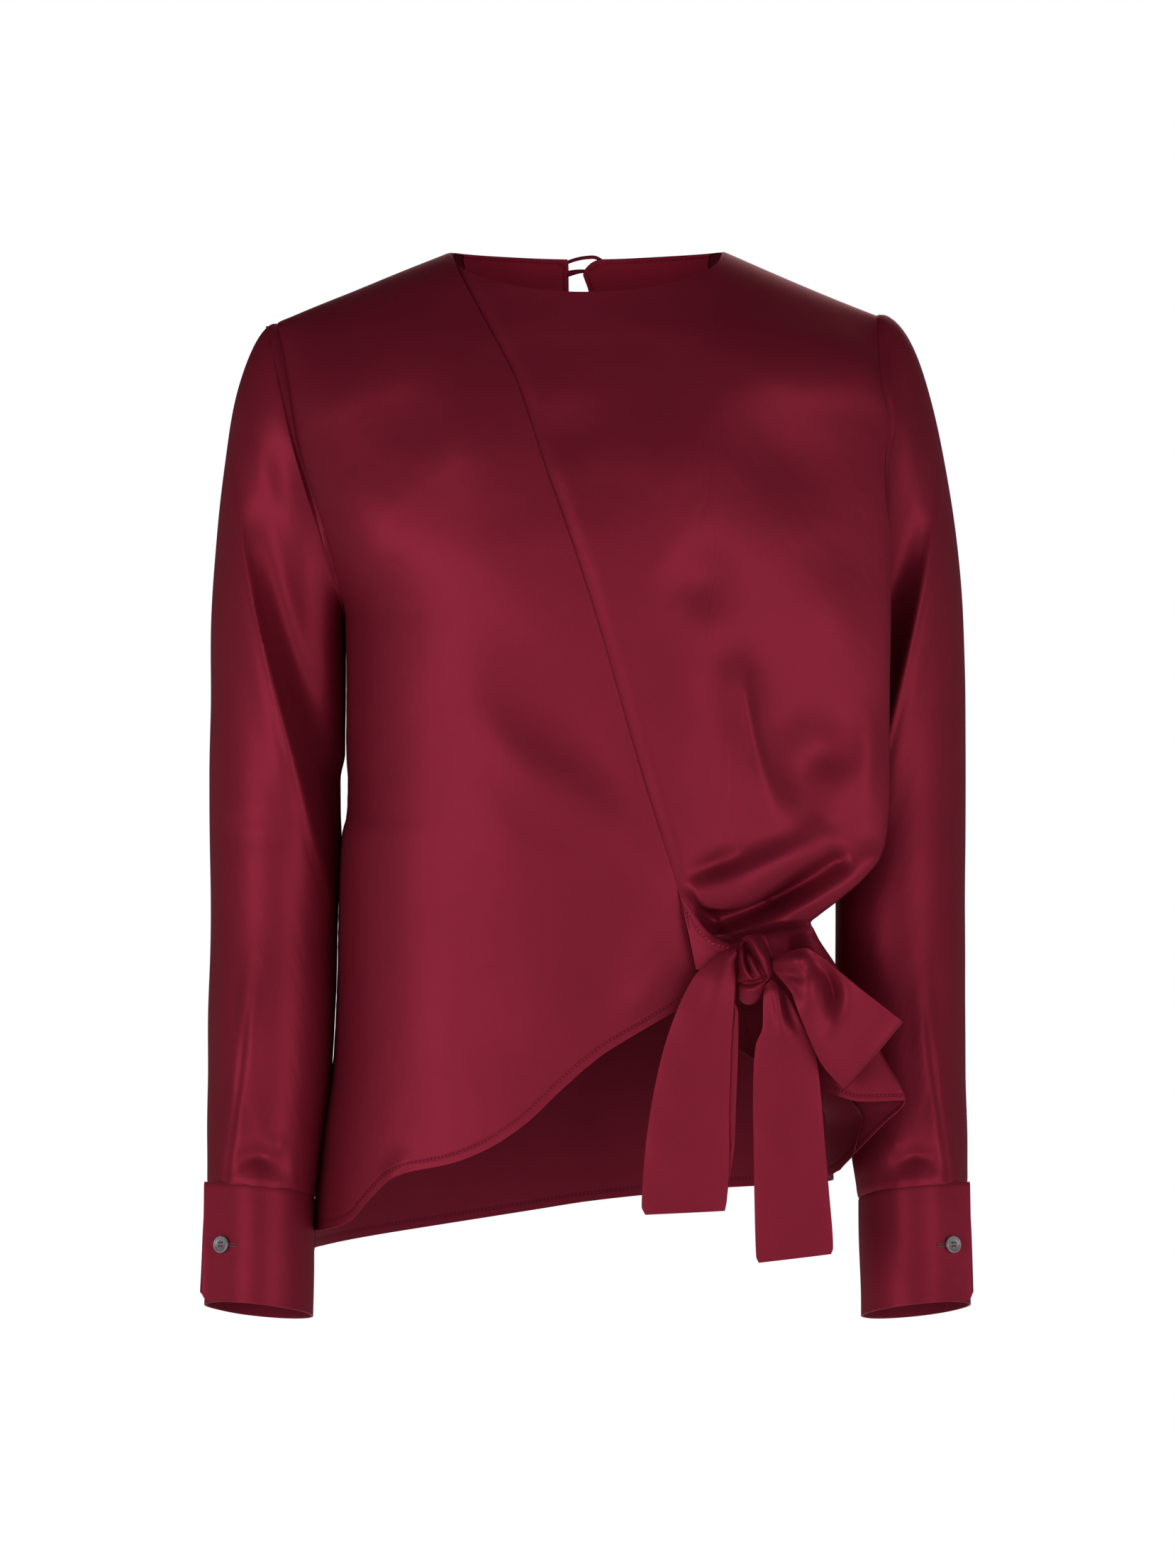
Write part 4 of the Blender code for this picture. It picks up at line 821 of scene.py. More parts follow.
def allowance(points, normal, side, reach=2.6, drop=1.15, heading=None):
    """Adds the turned-in seam allowance beyond one side of a grid, tucked under the next piece."""
    flip = side in ("bottom", "right")
    columns = side in ("left", "right")
    grid, out = points, normal
    if columns:
        grid, out = grid.transpose(1, 0, 2), out.transpose(1, 0, 2)
    if flip:
        grid, out = grid[::-1], out[::-1]
    tucked = grid[0] + (unit(grid[0] - grid[2]) if heading is None else heading) * reach
    tucked -= out[0] * drop
    grid, out = np.concatenate([tucked[None], grid]), np.concatenate([out[:1], out])
    if flip:
        grid, out = grid[::-1], out[::-1]
    if columns:
        grid, out = grid.transpose(1, 0, 2), out.transpose(1, 0, 2)
    return grid, out


def cloth_fields(points, bands):
    """Attributes that the finishes read: distance from the nearest finished edge, distance along
    it, where its stitches run, and the cloth's own flat coordinates, all in millimetres."""
    borders = Borders(points)
    edge = np.full(points.shape[:2], 99.0)
    along, stitch = np.zeros(edge.shape), np.full(edge.shape, 5.0)
    for side, offset in bands:
        away, run = borders.near(side)
        closer = away < edge
        edge, along = np.where(closer, away, edge), np.where(closer, run, along)
        stitch = np.where(closer, offset, stitch)
    middle = points.shape[1] // 2
    flat = np.stack([borders.across - borders.across[:, middle:middle + 1],
                     borders.down, np.zeros(edge.shape)], axis=-1)
    return {"edge": edge, "along": along, "stitch": stitch, "flat": flat}


def shell(name, outer, normal, thick, material, wrap=False, keep=None, bands=(), wrong=1.0):
    """Closed thin shell of cloth under an outer grid of points. The last argument is one where the inner
    side is the satin's dull back; there its colour is also darkened, painted shade inside the blouse."""
    fields = cloth_fields(outer, bands)
    thick = np.broadcast_to(np.asarray(thick, dtype=float), outer.shape[:2])
    inner = outer - normal * thick[..., None]
    inner[..., 1] = np.where(np.abs(outer[..., 1]) < SEAM_REACH, outer[..., 1], inner[..., 1])
    return closed_grid(name, outer, inner, fields, material, wrap, keep, wrong)


def closed_grid(name, outer, inner, fields, material, wrap=False, keep=None, wrong=0.0):
    rows, columns = outer.shape[:2]
    below = rows * columns
    wide = columns if wrap else columns - 1
    j, i = np.meshgrid(np.arange(rows - 1), np.arange(wide), indexing="ij")
    if keep is not None:
        j, i = j[keep], i[keep]
    j, i = j.ravel(), i.ravel()
    k = (i + 1) % columns
    cells = np.stack([j * columns + i, (j + 1) * columns + i,
                      (j + 1) * columns + k, j * columns + k], axis=-1)
    edges = {(int(cell[n]), int(cell[(n + 1) % 4])) for cell in cells for n in range(4)}
    faces = [list(map(int, cell)) for cell in cells]
    faces += [list(map(int, cell[::-1] + below)) for cell in cells]
    for start, end in sorted(edges):
        if (end, start) not in edges:
            faces.append([end, start, start + below, end + below])
    points = np.concatenate([outer.reshape(-1, 3), inner.reshape(-1, 3)])
    used = np.unique(cells)
    used = np.concatenate([used, used + below])
    place = np.full(2 * below, -1)
    place[used] = np.arange(len(used))
    faces = [[int(place[n]) for n in face] for face in faces]
    piece = mesh_piece(name, points[used], faces, material)
    mark(piece, {word: np.concatenate([values.reshape(below, -1)] * 2)[used]
                 for word, values in fields.items()})
    mark(piece, {"wrong": np.repeat([[0.0], [wrong]], below, axis=0)[used]})
    return piece


def mark(piece, fields):
    """Stores fields on the points of a piece, for its finish."""
    for word, values in fields.items():
        kind = "FLOAT_VECTOR" if values.shape[1] == 3 else "FLOAT"
        data = piece.data.attributes.new(word, kind, "POINT").data
        data.foreach_set("vector" if kind == "FLOAT_VECTOR" else "value", values.ravel())


def mesh_piece(name, points, faces, material, sharp=55.0):
    """Smooth-shaded mesh from points in millimetres, its faces turned outwards."""
    mesh = bpy.data.meshes.new(name)
    mesh.from_pydata((np.asarray(points) * MM).tolist(), [], faces)
    mesh.update()
    build = bmesh.new()
    build.from_mesh(mesh)
    bmesh.ops.recalc_face_normals(build, faces=build.faces)
    build.to_mesh(mesh)
    build.free()
    mesh.shade_smooth()
    mesh.set_sharp_from_angle(angle=math.radians(sharp))
    mesh.materials.append(material)
    piece = bpy.data.objects.new(name, mesh)
    bpy.context.scene.collection.objects.link(piece)
    return piece


def grid_normal(points, wrap):
    if wrap:
        across = np.roll(points, -1, axis=1) - np.roll(points, 1, axis=1)
    else:
        across = np.gradient(points, axis=1)
    return unit(np.cross(np.gradient(points, axis=0), across))


def steps(count, crowd=1.0):
    """Shares of a grid's lines, crowded towards nought where crowd is over one, with a few more
    close to each end for seams and hems."""
    ends = np.array(CLOSE_LINES)
    return np.unique(np.concatenate([spaced(count) ** crowd, ends, 1 - ends]))


def settle(piece, slot, *nodes):
    """The piece rides on the blouse and stands for its solids, which are hidden. Its finish slot is not
    used.
    """
    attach(piece, "root")
    if nodes:
        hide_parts(*nodes)
    return piece


def declare_cloth(piece):
    """Works out the flat cut of a piece from its own coordinates and the area of its outer side,
    but neither stores nor returns it. Only the tapered strap comes out shorter than its longest
    edge, since a cut has to fill a fair share of its rectangle."""
    mesh = piece.data
    count = len(mesh.vertices)
    values = np.zeros(count * 3)
    mesh.attributes["flat"].data.foreach_get("vector", values)
    flat = values.reshape(-1, 3)
    size = (flat.max(axis=0) - flat.min(axis=0))[:2] * MM
    area = sum(polygon.area for polygon in mesh.polygons) / 2
    width = float(size[0])
    length = min(float(size[1]), area / (LEAST_SHARE * width))
    area = min(area, width * length)


def make_wrap_front(sizes, satin):
    """Front on the wearer's right, which lies on top and runs out into the strap."""
    seam = front_line(np.linspace(-SHOULDER_LEFT, -NECK_HALF, 25), shoulder_line)
    arm = [armhole_right_arm(s, True) for s in np.linspace(0, 1, 49)]
    seam[0] = arm[0]
    side = arm + [(-180.0, z) for z in np.linspace(UNDERARM, FRONT_CORNER, 24)[1:]]
    hem = front_line(np.linspace(FRONT_HEM.keys[0], FRONT_HEM.keys[-1], 70),
                     lambda x: float(FRONT_HEM.at("z", x)))
    hem[0] = side[-1]
    edge = [(front_angle(float(WRAP_EDGE.at("x", z)), z), z)
            for z in np.linspace(WRAP_EDGE.keys[-1], WRAP_EDGE.keys[0], 70)]
    edge[0], edge[-1] = seam[-1], hem[-1]
    grid = coons(polyline(seam), polyline(hem), polyline(side), polyline(edge),
                 steps(104), steps(150, 1.2))
    angle, z = grid[..., 0], grid[..., 1]
    point, normal = wrap_form(angle, z), form_normal(wrap_form, angle, z)
    point = dress(point, normal, sizes, seams=("top", "left"))
    away, _ = Borders(point).near("right")
    point -= normal * (EDGE_PRESS * np.exp(-(away / 1.2) ** 2))[..., None]
    piece = shell("satin_front_right", point, normal, sizes.cloth / MM, satin,
                  bands=(("bottom", sizes.front_hem / MM), ("right", PLAIN_EDGE)))
    settle(piece, "satin", "front_right")
    declare_cloth(piece)


def make_drape_front(sizes, satin):
    """Front on the wearer's left: neckline, drape, roll and the part below the tie.

    Its grid is four patches: above and below the roll, before and behind the rim.
    """
    fine = 6
    top = front_line(np.linspace(-NECK_HALF + 1, NECK_HALF, 60), neck_front)
    top += front_line(np.linspace(NECK_HALF, SHOULDER_RIGHT, 24)[1:], shoulder_line)
    arm = [armhole_left_arm(s, True) for s in np.linspace(0, 1, 161)]
    upper_arm = [place for place in arm if place[1] > LEFT_ARMHOLE_TURN]
    lower_arm = [place for place in arm if place[1] < LEFT_ARMHOLE_TURN]
    turn_point = (LOBE_ANGLE, LEFT_ARMHOLE_TURN)
    top[-1] = upper_arm[0]
    under = [top[0]] + [(front_angle(float(UNDER_EDGE.at("x", z)) - UNDERLAP, z), z)
                        for z in np.linspace(-30, -445, 48)]
    roll = front_line(np.linspace(ROLL_STEPS[0], ROLL_STEPS[-1], 40),
                      lambda x: float(ROLL_EDGE.at("z", x)) + 1)
    roll.append((LOBE_ANGLE, PINCH))
    under.append(roll[0])

    row = np.linspace(0, DRAPE_ROWS.keys[-1], int(DRAPE_ROWS.keys[-1]) * fine + 1)
    edge_z, rim_z = DRAPE_ROWS.at("edge_z", row), DRAPE_ROWS.at("rim_z", row)
    arm_rows = int(np.argmin(np.abs(rim_z - LEFT_ARMHOLE_TURN)))
    body_share = (LEFT_ARMHOLE_TURN - rim_z[arm_rows:]) / (LEFT_ARMHOLE_TURN - PINCH)
    rim, edge = polyline(upper_arm + [turn_point, (LOBE_ANGLE, PINCH)]), polyline(under)
    shares = np.linspace(0, 1, 900)
    at_rim = np.interp(-rim_z, -rim(shares)[:, 1], shares)[:, None]
    at_edge = np.interp(-edge_z, -edge(shares)[:, 1], shares)[:, None]
    across = spaced(DRAPE_COLUMNS * fine)
    upper = coons(polyline(top), polyline(roll), edge, rim, across,
                  at_edge + (at_rim - at_edge) * across ** ROW_BEND)
    seam = [(float(LEFT_SIDE_SEAM.at("angle", z)), z) for z in np.linspace(UNDERARM, PINCH, 30)]
    seam[0] = lower_arm[-1]
    behind_steps = spaced(BEHIND_COLUMNS * 4)
    behind = coons(polyline([turn_point] + lower_arm), polyline([(LOBE_ANGLE, PINCH), seam[-1]]),
                   polyline([turn_point, (LOBE_ANGLE, PINCH)]), polyline(seam),
                   behind_steps, body_share)

    opening = [roll[0]] + [(front_angle(x, z), z) for x, z in PEPLUM_OPENING]
    hem = front_line(np.linspace(PEPLUM_OPENING[-1][0], 200, 50),
                     lambda x: float(PEPLUM_HEM.at("z", x)))
    hem.append((LOBE_ANGLE, RIM_TIP))
    low_share = np.unique(np.concatenate([np.linspace(0, 1, 52) ** 1.35, [0.97, 0.985, 0.994]]))[1:]
    lower = coons(polyline(roll), polyline(hem), polyline(opening),
                  polyline([(LOBE_ANGLE, PINCH), (LOBE_ANGLE, RIM_TIP)]), across, low_share)
    seam_low = [(float(LEFT_SIDE_SEAM.at("angle", z)), z)
                for z in np.linspace(PINCH, SEAM_AT_HEM, 24)]
    behind_low = coons(polyline([(LOBE_ANGLE, PINCH), seam_low[0]]),
                       polyline([(LOBE_ANGLE, RIM_TIP), seam_low[-1]]),
                       polyline([(LOBE_ANGLE, PINCH), (LOBE_ANGLE, RIM_TIP)]),
                       polyline(seam_low), behind_steps, low_share)

    before = np.concatenate([upper, lower])
    after = np.concatenate([np.repeat(behind[:1], arm_rows, axis=0), behind, behind_low])
    grid = np.concatenate([before, after[:, 1:]], axis=1)
    keep = np.ones((grid.shape[0] - 1, grid.shape[1] - 1), dtype=bool)
    keep[:arm_rows, DRAPE_COLUMNS * fine:] = False
    angle, z = grid[..., 0], grid[..., 1]
    point, normal = drape_form(angle, z), form_normal(drape_form, angle, z)
    from_edge = point[..., 0] - UNDER_EDGE.at("x", point[..., 2])
    lift = -LAP * (1 - smooth_step((from_edge - 1) / 10))
    point = dress(point + normal * lift[..., None], normal, sizes, seams=("right",))
    piece = shell("satin_front_left", point, normal, sizes.cloth / MM, satin, keep=keep,
                  bands=(("bottom", sizes.side_hem / MM), ("left", PLAIN_EDGE)))
    settle(piece, "satin", "front_left")
    declare_cloth(piece)


def back_edges():
    """The four edges of the back: top, hem and the two sides from armhole to hem."""
    arm_left = [armhole_right_arm(s, False) for s in np.linspace(0, 1, 49)]
    arm_right = [armhole_left_arm(s, False) for s in np.linspace(0, 1, 49)]
    top = back_line(np.linspace(-SHOULDER_LEFT, -NECK_HALF, 24), shoulder_line)
    top += back_line(np.linspace(-NECK_HALF, NECK_HALF, 60)[1:], neck_back)
    top += back_line(np.linspace(NECK_HALF, SHOULDER_RIGHT, 24)[1:], shoulder_line)
    top[0], top[-1] = arm_left[0], arm_right[0]
    side_left = arm_left + [(180.0, z) for z in np.linspace(UNDERARM, BACK_CORNER, 24)[1:]]
    side_right = arm_right + [(float(LEFT_SIDE_SEAM.at("angle", z)) + SEAM_TURN, z)
                              for z in np.linspace(UNDERARM, SEAM_AT_HEM, 40)[1:]]
    hem = back_line(np.linspace(BACK_HEM.keys[0], BACK_HEM.keys[-2], 50),
                    lambda x: float(BACK_HEM.at("z", x)))
    hem[0] = side_left[-1]
    hem += BACK_HEM_CORNER
    hem.append(side_right[-1])
    return polyline(top), polyline(hem), polyline(side_left), polyline(side_right)


def make_back(sizes, satin, facing_satin):
    """Back with the slit at the middle of the neck, and the two halves of its neck facing."""
    across, down = steps(BACK_COLUMNS * 4), steps(PANEL_ROWS * 7, 1.3)
    grid = coons(*back_edges(), across, down)
    point = back_form(grid[..., 0], grid[..., 1])
    slit = int(np.argmin(np.abs(point[0, :, 0] - float(SLIT.at("left", -SLIT_LENGTH)))))
    grid = np.concatenate([grid[:, :slit + 1], grid[:, slit:]], axis=1)
    point = np.concatenate([point[:, :slit + 1], point[:, slit:]], axis=1)
    open_rows = int(np.sum(point[:, slit, 2] > -SLIT_LENGTH))
    for j in range(open_rows + 1):
        for i in range(slit - SLIT_COLUMNS, slit + SLIT_COLUMNS + 2):
            x, z = point[j, i, 0], grid[j, i, 1]
            edge = float(SLIT.at("left" if i <= slit else "right", z))
            near = np.clip(1 - abs(x - point[j, slit, 0]) / SLIT_SWAY, 0, 1)
            grid[j, i, 0] = back_angle(x + (edge - point[j, slit, 0]) * smooth_step(near), z)
    keep = np.ones((grid.shape[0] - 1, grid.shape[1] - 1), dtype=bool)
    keep[:open_rows, slit] = False
    angle, z = grid[..., 0], grid[..., 1]
    normal = form_normal(back_form, angle, z)
    point = dress(back_form(angle, z), normal, sizes, seams=("left", "right"))
    wide, out = allowance(*allowance(point, normal, "left"), "right", 3.4, 1.3)
    piece = shell("satin_back", wide, out, sizes.cloth / MM, satin,
                  keep=np.pad(keep, ((0, 0), (1, 1)), constant_values=True),
                  bands=(("bottom", sizes.back_hem / MM),))
    settle(piece, "satin", "back")
    declare_cloth(piece)
    deep = int(np.argmin(np.abs(point[:, slit, 2] + FACING_DEPTH)))
    first = int(np.argmin(np.abs(point[0, :, 0] + FACING_HALF)))
    last = int(np.argmin(np.abs(point[0, :, 0] - FACING_HALF)))
    for word, start, end, inner_side in (("right", first, slit, "right"),
                                         ("left", slit + 1, last, "left")):
        part, out = point[:deep + 1, start:end + 1], normal[:deep + 1, start:end + 1]
        under = part - out * (sizes.cloth / MM + FACING_GAP)
        half_facing = shell("satin_facing_" + word, under, out, sizes.facing_cloth / MM,
                            facing_satin, bands=(("top", sizes.neck_stitch / MM),
                                                 (inner_side, sizes.neck_stitch / MM)), wrong=0.0)
        settle(half_facing, "satin_facing", "back_facing_" + word)
        declare_cloth(half_facing)


def armhole_points(armhole, front_form, side, turns):
    points = []
    for turn in turns:
        share = turn / math.pi
        front = share <= 1
        angle, z = armhole(share if front else 2 - share, front)
        form = front_form if front else back_form
        point = form(np.array([angle]), np.array([z]))[0]
        points.append((side * point[0], point[1], point[2]))
    return np.array(points)


def make_sleeve(sizes, word, table, armhole, front_form, side, seam, satin):
    """Sleeve from its armhole to the cuff, full at the head, with its long creases."""
    turns = full_turn(168)
    start = armhole_points(armhole, front_form, side, turns)
    end = sleeve_ring(table, turns, np.full(turns.shape, SLEEVE_RING))
    rows = []
    for share in np.concatenate([[0, 0.002, 0.006, 0.012], np.linspace(0, 1, 46)[1:-1] ** 1.35]):
        spread = math.sqrt(1 - (1 - share) ** 2)
        row = start + (end - start) * np.array([spread, spread, share])
        row[:, 0] += seam * (1 - share ** 2)
        rows.append(row)
    for z in np.linspace(SLEEVE_RING, SLEEVE_END, 96):
        rows.append(sleeve_ring(table, turns, np.full(turns.shape, z)))
    points = np.array(rows)
    facing = smooth_step(np.sin(turns) / 0.5)[None, :]
    behind = smooth_step(-np.sin(turns) / 0.5)[None, :]
    fold = fold_height(SLEEVE_FOLDS, points[..., 0], points[..., 2])
    hidden = fold_height(SLEEVE_BACK_FOLDS, points[..., 0], points[..., 2])
    points[..., 1] += behind * hidden - facing * fold
    points[..., 0] *= side
    normal = grid_normal(points, wrap=True) * (-side)
    points = dress(points, normal, sizes, seams=("top", "bottom"), rise=-1.0)
    points, normal = allowance(points, normal, "top", 3.0, 1.2, np.array([-side, 0.0, 0.0]))
    points, normal = allowance(points, normal, "bottom", 2.0, 0.9)
    piece = shell("satin_sleeve_" + word, points, normal, sizes.cloth / MM, satin, wrap=True)
    settle(piece, "satin", "sleeve_" + word)
    declare_cloth(piece)


def cuff_grid(table, side):
    """Outer grid of a cuff, from under its flap to the flap's free edge, top row first."""
    sweep = np.radians(np.linspace(CUFF_START, FLAP_START - 360, 110))
    corner = 1 - np.sin(np.linspace(0.12, 1, 9) * math.pi / 2)
    reach = np.concatenate([np.linspace(0, FLAP_REACH - FLAP_CORNER, 12)[1:],
                            FLAP_REACH - FLAP_CORNER * corner])
    bottom = np.full(len(sweep) + len(reach), CUFF_BOTTOM)
    corner = np.clip(reach - FLAP_REACH + FLAP_CORNER, 0, FLAP_CORNER)
    bottom[len(sweep):] += FLAP_CORNER - np.sqrt(FLAP_CORNER ** 2 - corner ** 2)
    rows = []
    for share in steps(34):
        height = CUFF_TOP + (bottom - CUFF_TOP) * share
        ring = sleeve_ring(table, sweep, height[:len(sweep)])
        centre = ring[:, :2].mean(axis=0)
        tuck = CUFF_TUCK * (1 - smooth_step((CUFF_START - np.degrees(sweep)) / TUCK_TURN))
        ring[:, :2] += unit(centre - ring[:, :2]) * tuck[:, None]
        heading = unit(ring[-1] - ring[-2])
        flap = ring[-1] + heading * reach[:, None]
        flap[:, 2] += height[len(sweep):] - CUFF_TOP - (CUFF_BOTTOM - CUFF_TOP) * share
        rows.append(np.concatenate([ring, flap]))
    points = np.array(rows)
    points[..., 0] *= side
    return points, grid_normal(points, wrap=False) * side, len(sweep)


def make_cuff(sizes, word, table, side, satin):
    points, normal, _ = cuff_grid(table, side)
    away, _ = Borders(points).near("top")
    soft = SMALL_WAVE * waves(points, 8, 12, 30, 90)
    pull = -CUFF_SEAM_DIP * np.exp(-(away / 1.3) ** 2)
    points = points + normal * (soft + pull)[..., None]
    piece = shell("satin_cuff_" + word, points, normal, sizes.cuff_cloth / MM, satin,
                  bands=(("bottom", PLAIN_EDGE), ("right", PLAIN_EDGE)))
    settle(piece, "satin", "cuff_" + word)
    declare_cloth(piece)


def set_on(offsets, place, normal):
    """Points given as sideways, up and outward offsets, set on a surface."""
    side = unit(np.cross(UPWARD, normal))
    lift = np.cross(normal, side)
    return place + offsets[..., :1] * side + offsets[..., 1:2] * lift + offsets[..., 2:] * normal


def stack_of_rings(name, rings, material, sharp=55.0):
    """Solid through a stack of rings, closed by a face at each end."""
    count, sides = rings.shape[:2]
    faces = [list(reversed(range(sides))), list(range((count - 1) * sides, count * sides))]
    for j in range(count - 1):
        for i in range(sides):
            k = (i + 1) % sides
            faces.append([j * sides + i, j * sides + k, (j + 1) * sides + k, (j + 1) * sides + i])
    piece = mesh_piece(name, rings.reshape(-1, 3), faces, material, sharp)
    mark(piece, {word: values.reshape(count * sides, -1)
                 for word, values in cloth_fields(rings, ()).items()})
    return piece


def swept(path, radius, sides, name, material):
    """Round cord along a path."""
    path = np.array(path, dtype=float)
    heading = unit(np.gradient(path, axis=0))
    aside = unit(np.cross(heading, UPWARD + heading * 0.01))
    over = unit(np.cross(aside, heading))
    turns = full_turn(sides)
    radius = np.broadcast_to(np.asarray(radius, dtype=float), len(path))[:, None, None]
    rings = path[:, None] + radius * (np.cos(turns)[None, :, None] * aside[:, None]
                                      + np.sin(turns)[None, :, None] * over[:, None])
    return stack_of_rings(name, rings, material)


def joined(name, pieces, material):
    """One smooth piece from several, each of them still a closed form."""
    build, mesh = bmesh.new(), bpy.data.meshes.new(name)
    for piece in pieces:
        build.from_mesh(piece.data)
        bpy.data.objects.remove(piece)
    build.to_mesh(mesh)
    build.free()
    mesh.materials.append(material)
    mesh.shade_smooth()
    whole = bpy.data.objects.new(name, mesh)
    bpy.context.scene.collection.objects.link(whole)
    return whole


def ribbon_points(table, along, share, crown):
    """Middle surface of a stretch of ribbon, bowed forwards between its edges."""
    share = share[None, :]
    x = (table.at("x0", along)[:, None] * (1 - share) + table.at("x1", along)[:, None] * share)
    z = (table.at("z0", along)[:, None] * (1 - share) + table.at("z1", along)[:, None] * share)
    y = table.at("y", along)[:, None] - crown * np.sin(np.pi * share)
    return np.stack(np.broadcast_arrays(x, y, z), axis=-1)


def make_ribbon(sizes, name, node, table, count, across, crown, satin, folds=(), bands=(),
                lip=None):
    """A doubled band of satin with soft folded edges. A lip is the under layer that shows
    beyond its second edge."""
    along = np.linspace(table.keys[0], table.keys[-1], count + 1)
    share = (1 - np.cos(np.linspace(0, math.pi, across + 1))) / 2
    points = ribbon_points(table, along, share, crown)
    if lip:
        edge, beyond = points[:, -1:], np.array([0.1, 0.4, 0.7, 1.0])
        under = np.repeat(edge, len(beyond), axis=1)
        under[..., 0] += lip.at("width", along)[:, None] * beyond
        under[..., 1] += LIP_DROP
        points = np.concatenate([points, under], axis=1)
        share = np.concatenate([share, 0.9 + 0.1 * beyond])
    if folds:
        front = smooth_step((LOOP_TURN - along) / 8)[:, None] if "loop" in name else 1.0
        points[..., 1] -= front * fold_height(folds, points[..., 0], points[..., 2])
    normal = grid_normal(points, wrap=False)
    points = points + normal * (SMALL_WAVE * waves(points, 6, 12, 25, 80))[..., None]
    half = sizes.tie_cloth / MM / 2
    rounded = half * np.sqrt(np.sin(np.pi * np.clip(share, 0.012, 0.988)) ** 0.5)
    outer = points + normal * rounded[None, :, None]
    inner = points - normal * rounded[None, :, None]
    piece = closed_grid(name, outer, inner, cloth_fields(outer, bands), satin)
    settle(piece, "satin", node)
    declare_cloth(piece)


def make_knot(satin):
    """The knot: one end wound round the other, its bands parted by deep creases."""
    turns = full_turn(200)
    rings = []
    for z in np.linspace(KNOT.keys[-1], KNOT.keys[0], 120):
        rings.append(np.stack([KNOT.at("x", z) + KNOT.at("half_x", z) * np.cos(turns),
                               KNOT_Y + KNOT.at("half_y", z) * np.sin(turns),
                               np.full(turns.shape, z)], axis=-1))
    rings = np.array(rings)
    front = smooth_step(-np.sin(turns) / 0.4)[None, :]
    behind = smooth_step(np.sin(turns) / 0.4)[None, :]
    folds = fold_height(KNOT_FOLDS, rings[..., 0], rings[..., 2])
    hidden = fold_height(KNOT_FOLDS, 2 * KNOT_MIDDLE - rings[..., 0], rings[..., 2])
    rings[..., 1] += behind * hidden - front * folds
    knot = stack_of_rings("satin_tie_knot", rings, satin, sharp=80.0)
    settle(knot, "satin", "tie_knot")


def smooth_path(points, count):
    """Even curve through a few points."""
    points = np.array(points, dtype=float)
    step = np.linalg.norm(np.diff(points, axis=0), axis=-1)
    run = np.concatenate([[0], np.cumsum(step)])
    slope = np.gradient(points, run, axis=0)
    where = np.linspace(0, run[-1], count)
    k = np.clip(np.searchsorted(run, where) - 1, 0, len(step) - 1)
    u = ((where - run[k]) / step[k])[:, None]
    return cubic(u, step[k][:, None], points[k], points[k + 1], slope[k], slope[k + 1])


def turned_button(name, place, normal, profile, holes, material):
    """Round button turned from a profile of radius and height, with its sewing holes."""
    turns = full_turn(72)
    rings = np.array([[(r * math.cos(t), r * math.sin(t), h) for t in turns] for r, h in profile])
    button = stack_of_rings(name, set_on(rings, place, normal), material, sharp=35.0)
    for x, y in holes:
        ring = np.array([[(x + BUTTON_HOLE / 2 * math.cos(t), y + BUTTON_HOLE / 2 * math.sin(t), h)
                          for t in turns[::4]] for h in (-1.0, BUTTON_THICK + 1.0)])
        cutter = stack_of_rings("hole", set_on(ring, place, normal), material)
        cut = button.modifiers.new("hole", "BOOLEAN")
        cut.operation, cut.object, cut.solver = "DIFFERENCE", cutter, "EXACT"
        shape = button.evaluated_get(bpy.context.evaluated_depsgraph_get())
        mesh = bpy.data.meshes.new_from_object(shape)
        button.modifiers.clear()
        button.data = mesh
        bpy.data.objects.remove(cutter)
    return button


def make_cuff_button(word, table, side, horn, thread):
    points, normals, flap = cuff_grid(table, side)
    column = flap + 4
    row = int(np.argmin(np.abs(points[:, column, 2] - BUTTON_DROP)))
    normal = normals[row, column]
    place = points[row, column] + normal * CUFF_BUTTON_CLEAR
    place[2] = BUTTON_DROP
    profile = [(radius * CUFF_BUTTON / 2, height) for radius, height in CUFF_BUTTON_PROFILE]
    holes = [(x, y) for x in (-HOLE_OFFSET, HOLE_OFFSET) for y in (-HOLE_OFFSET, HOLE_OFFSET)]
    button = turned_button("horn_cuff_button_" + word, place, normal, profile, holes, horn)
    settle(button, "horn", "cuff_button_" + word)
    strands = []
    for y in (-HOLE_OFFSET, HOLE_OFFSET):
        for lean in (-STRAND_LEAN, STRAND_LEAN):
            route = np.array([(HOLE_OFFSET * share, y + lean, height)
                              for share, height in STRAND_ROUTE])
            route = smooth_path(set_on(route, place, normal), 28)
            strands.append(swept(route, STRAND, 8, "strand", thread))
    shank = set_on(np.array([(0, 0, -0.5), (0, 0, 0.4)]), place, normal)
    strands.append(swept(shank, SHANK, 14, "shank", thread))
    settle(joined("thread_cuff_" + word, strands, thread), "satin")
    make_buttonhole(word, points, normals, place, normal, side, thread)


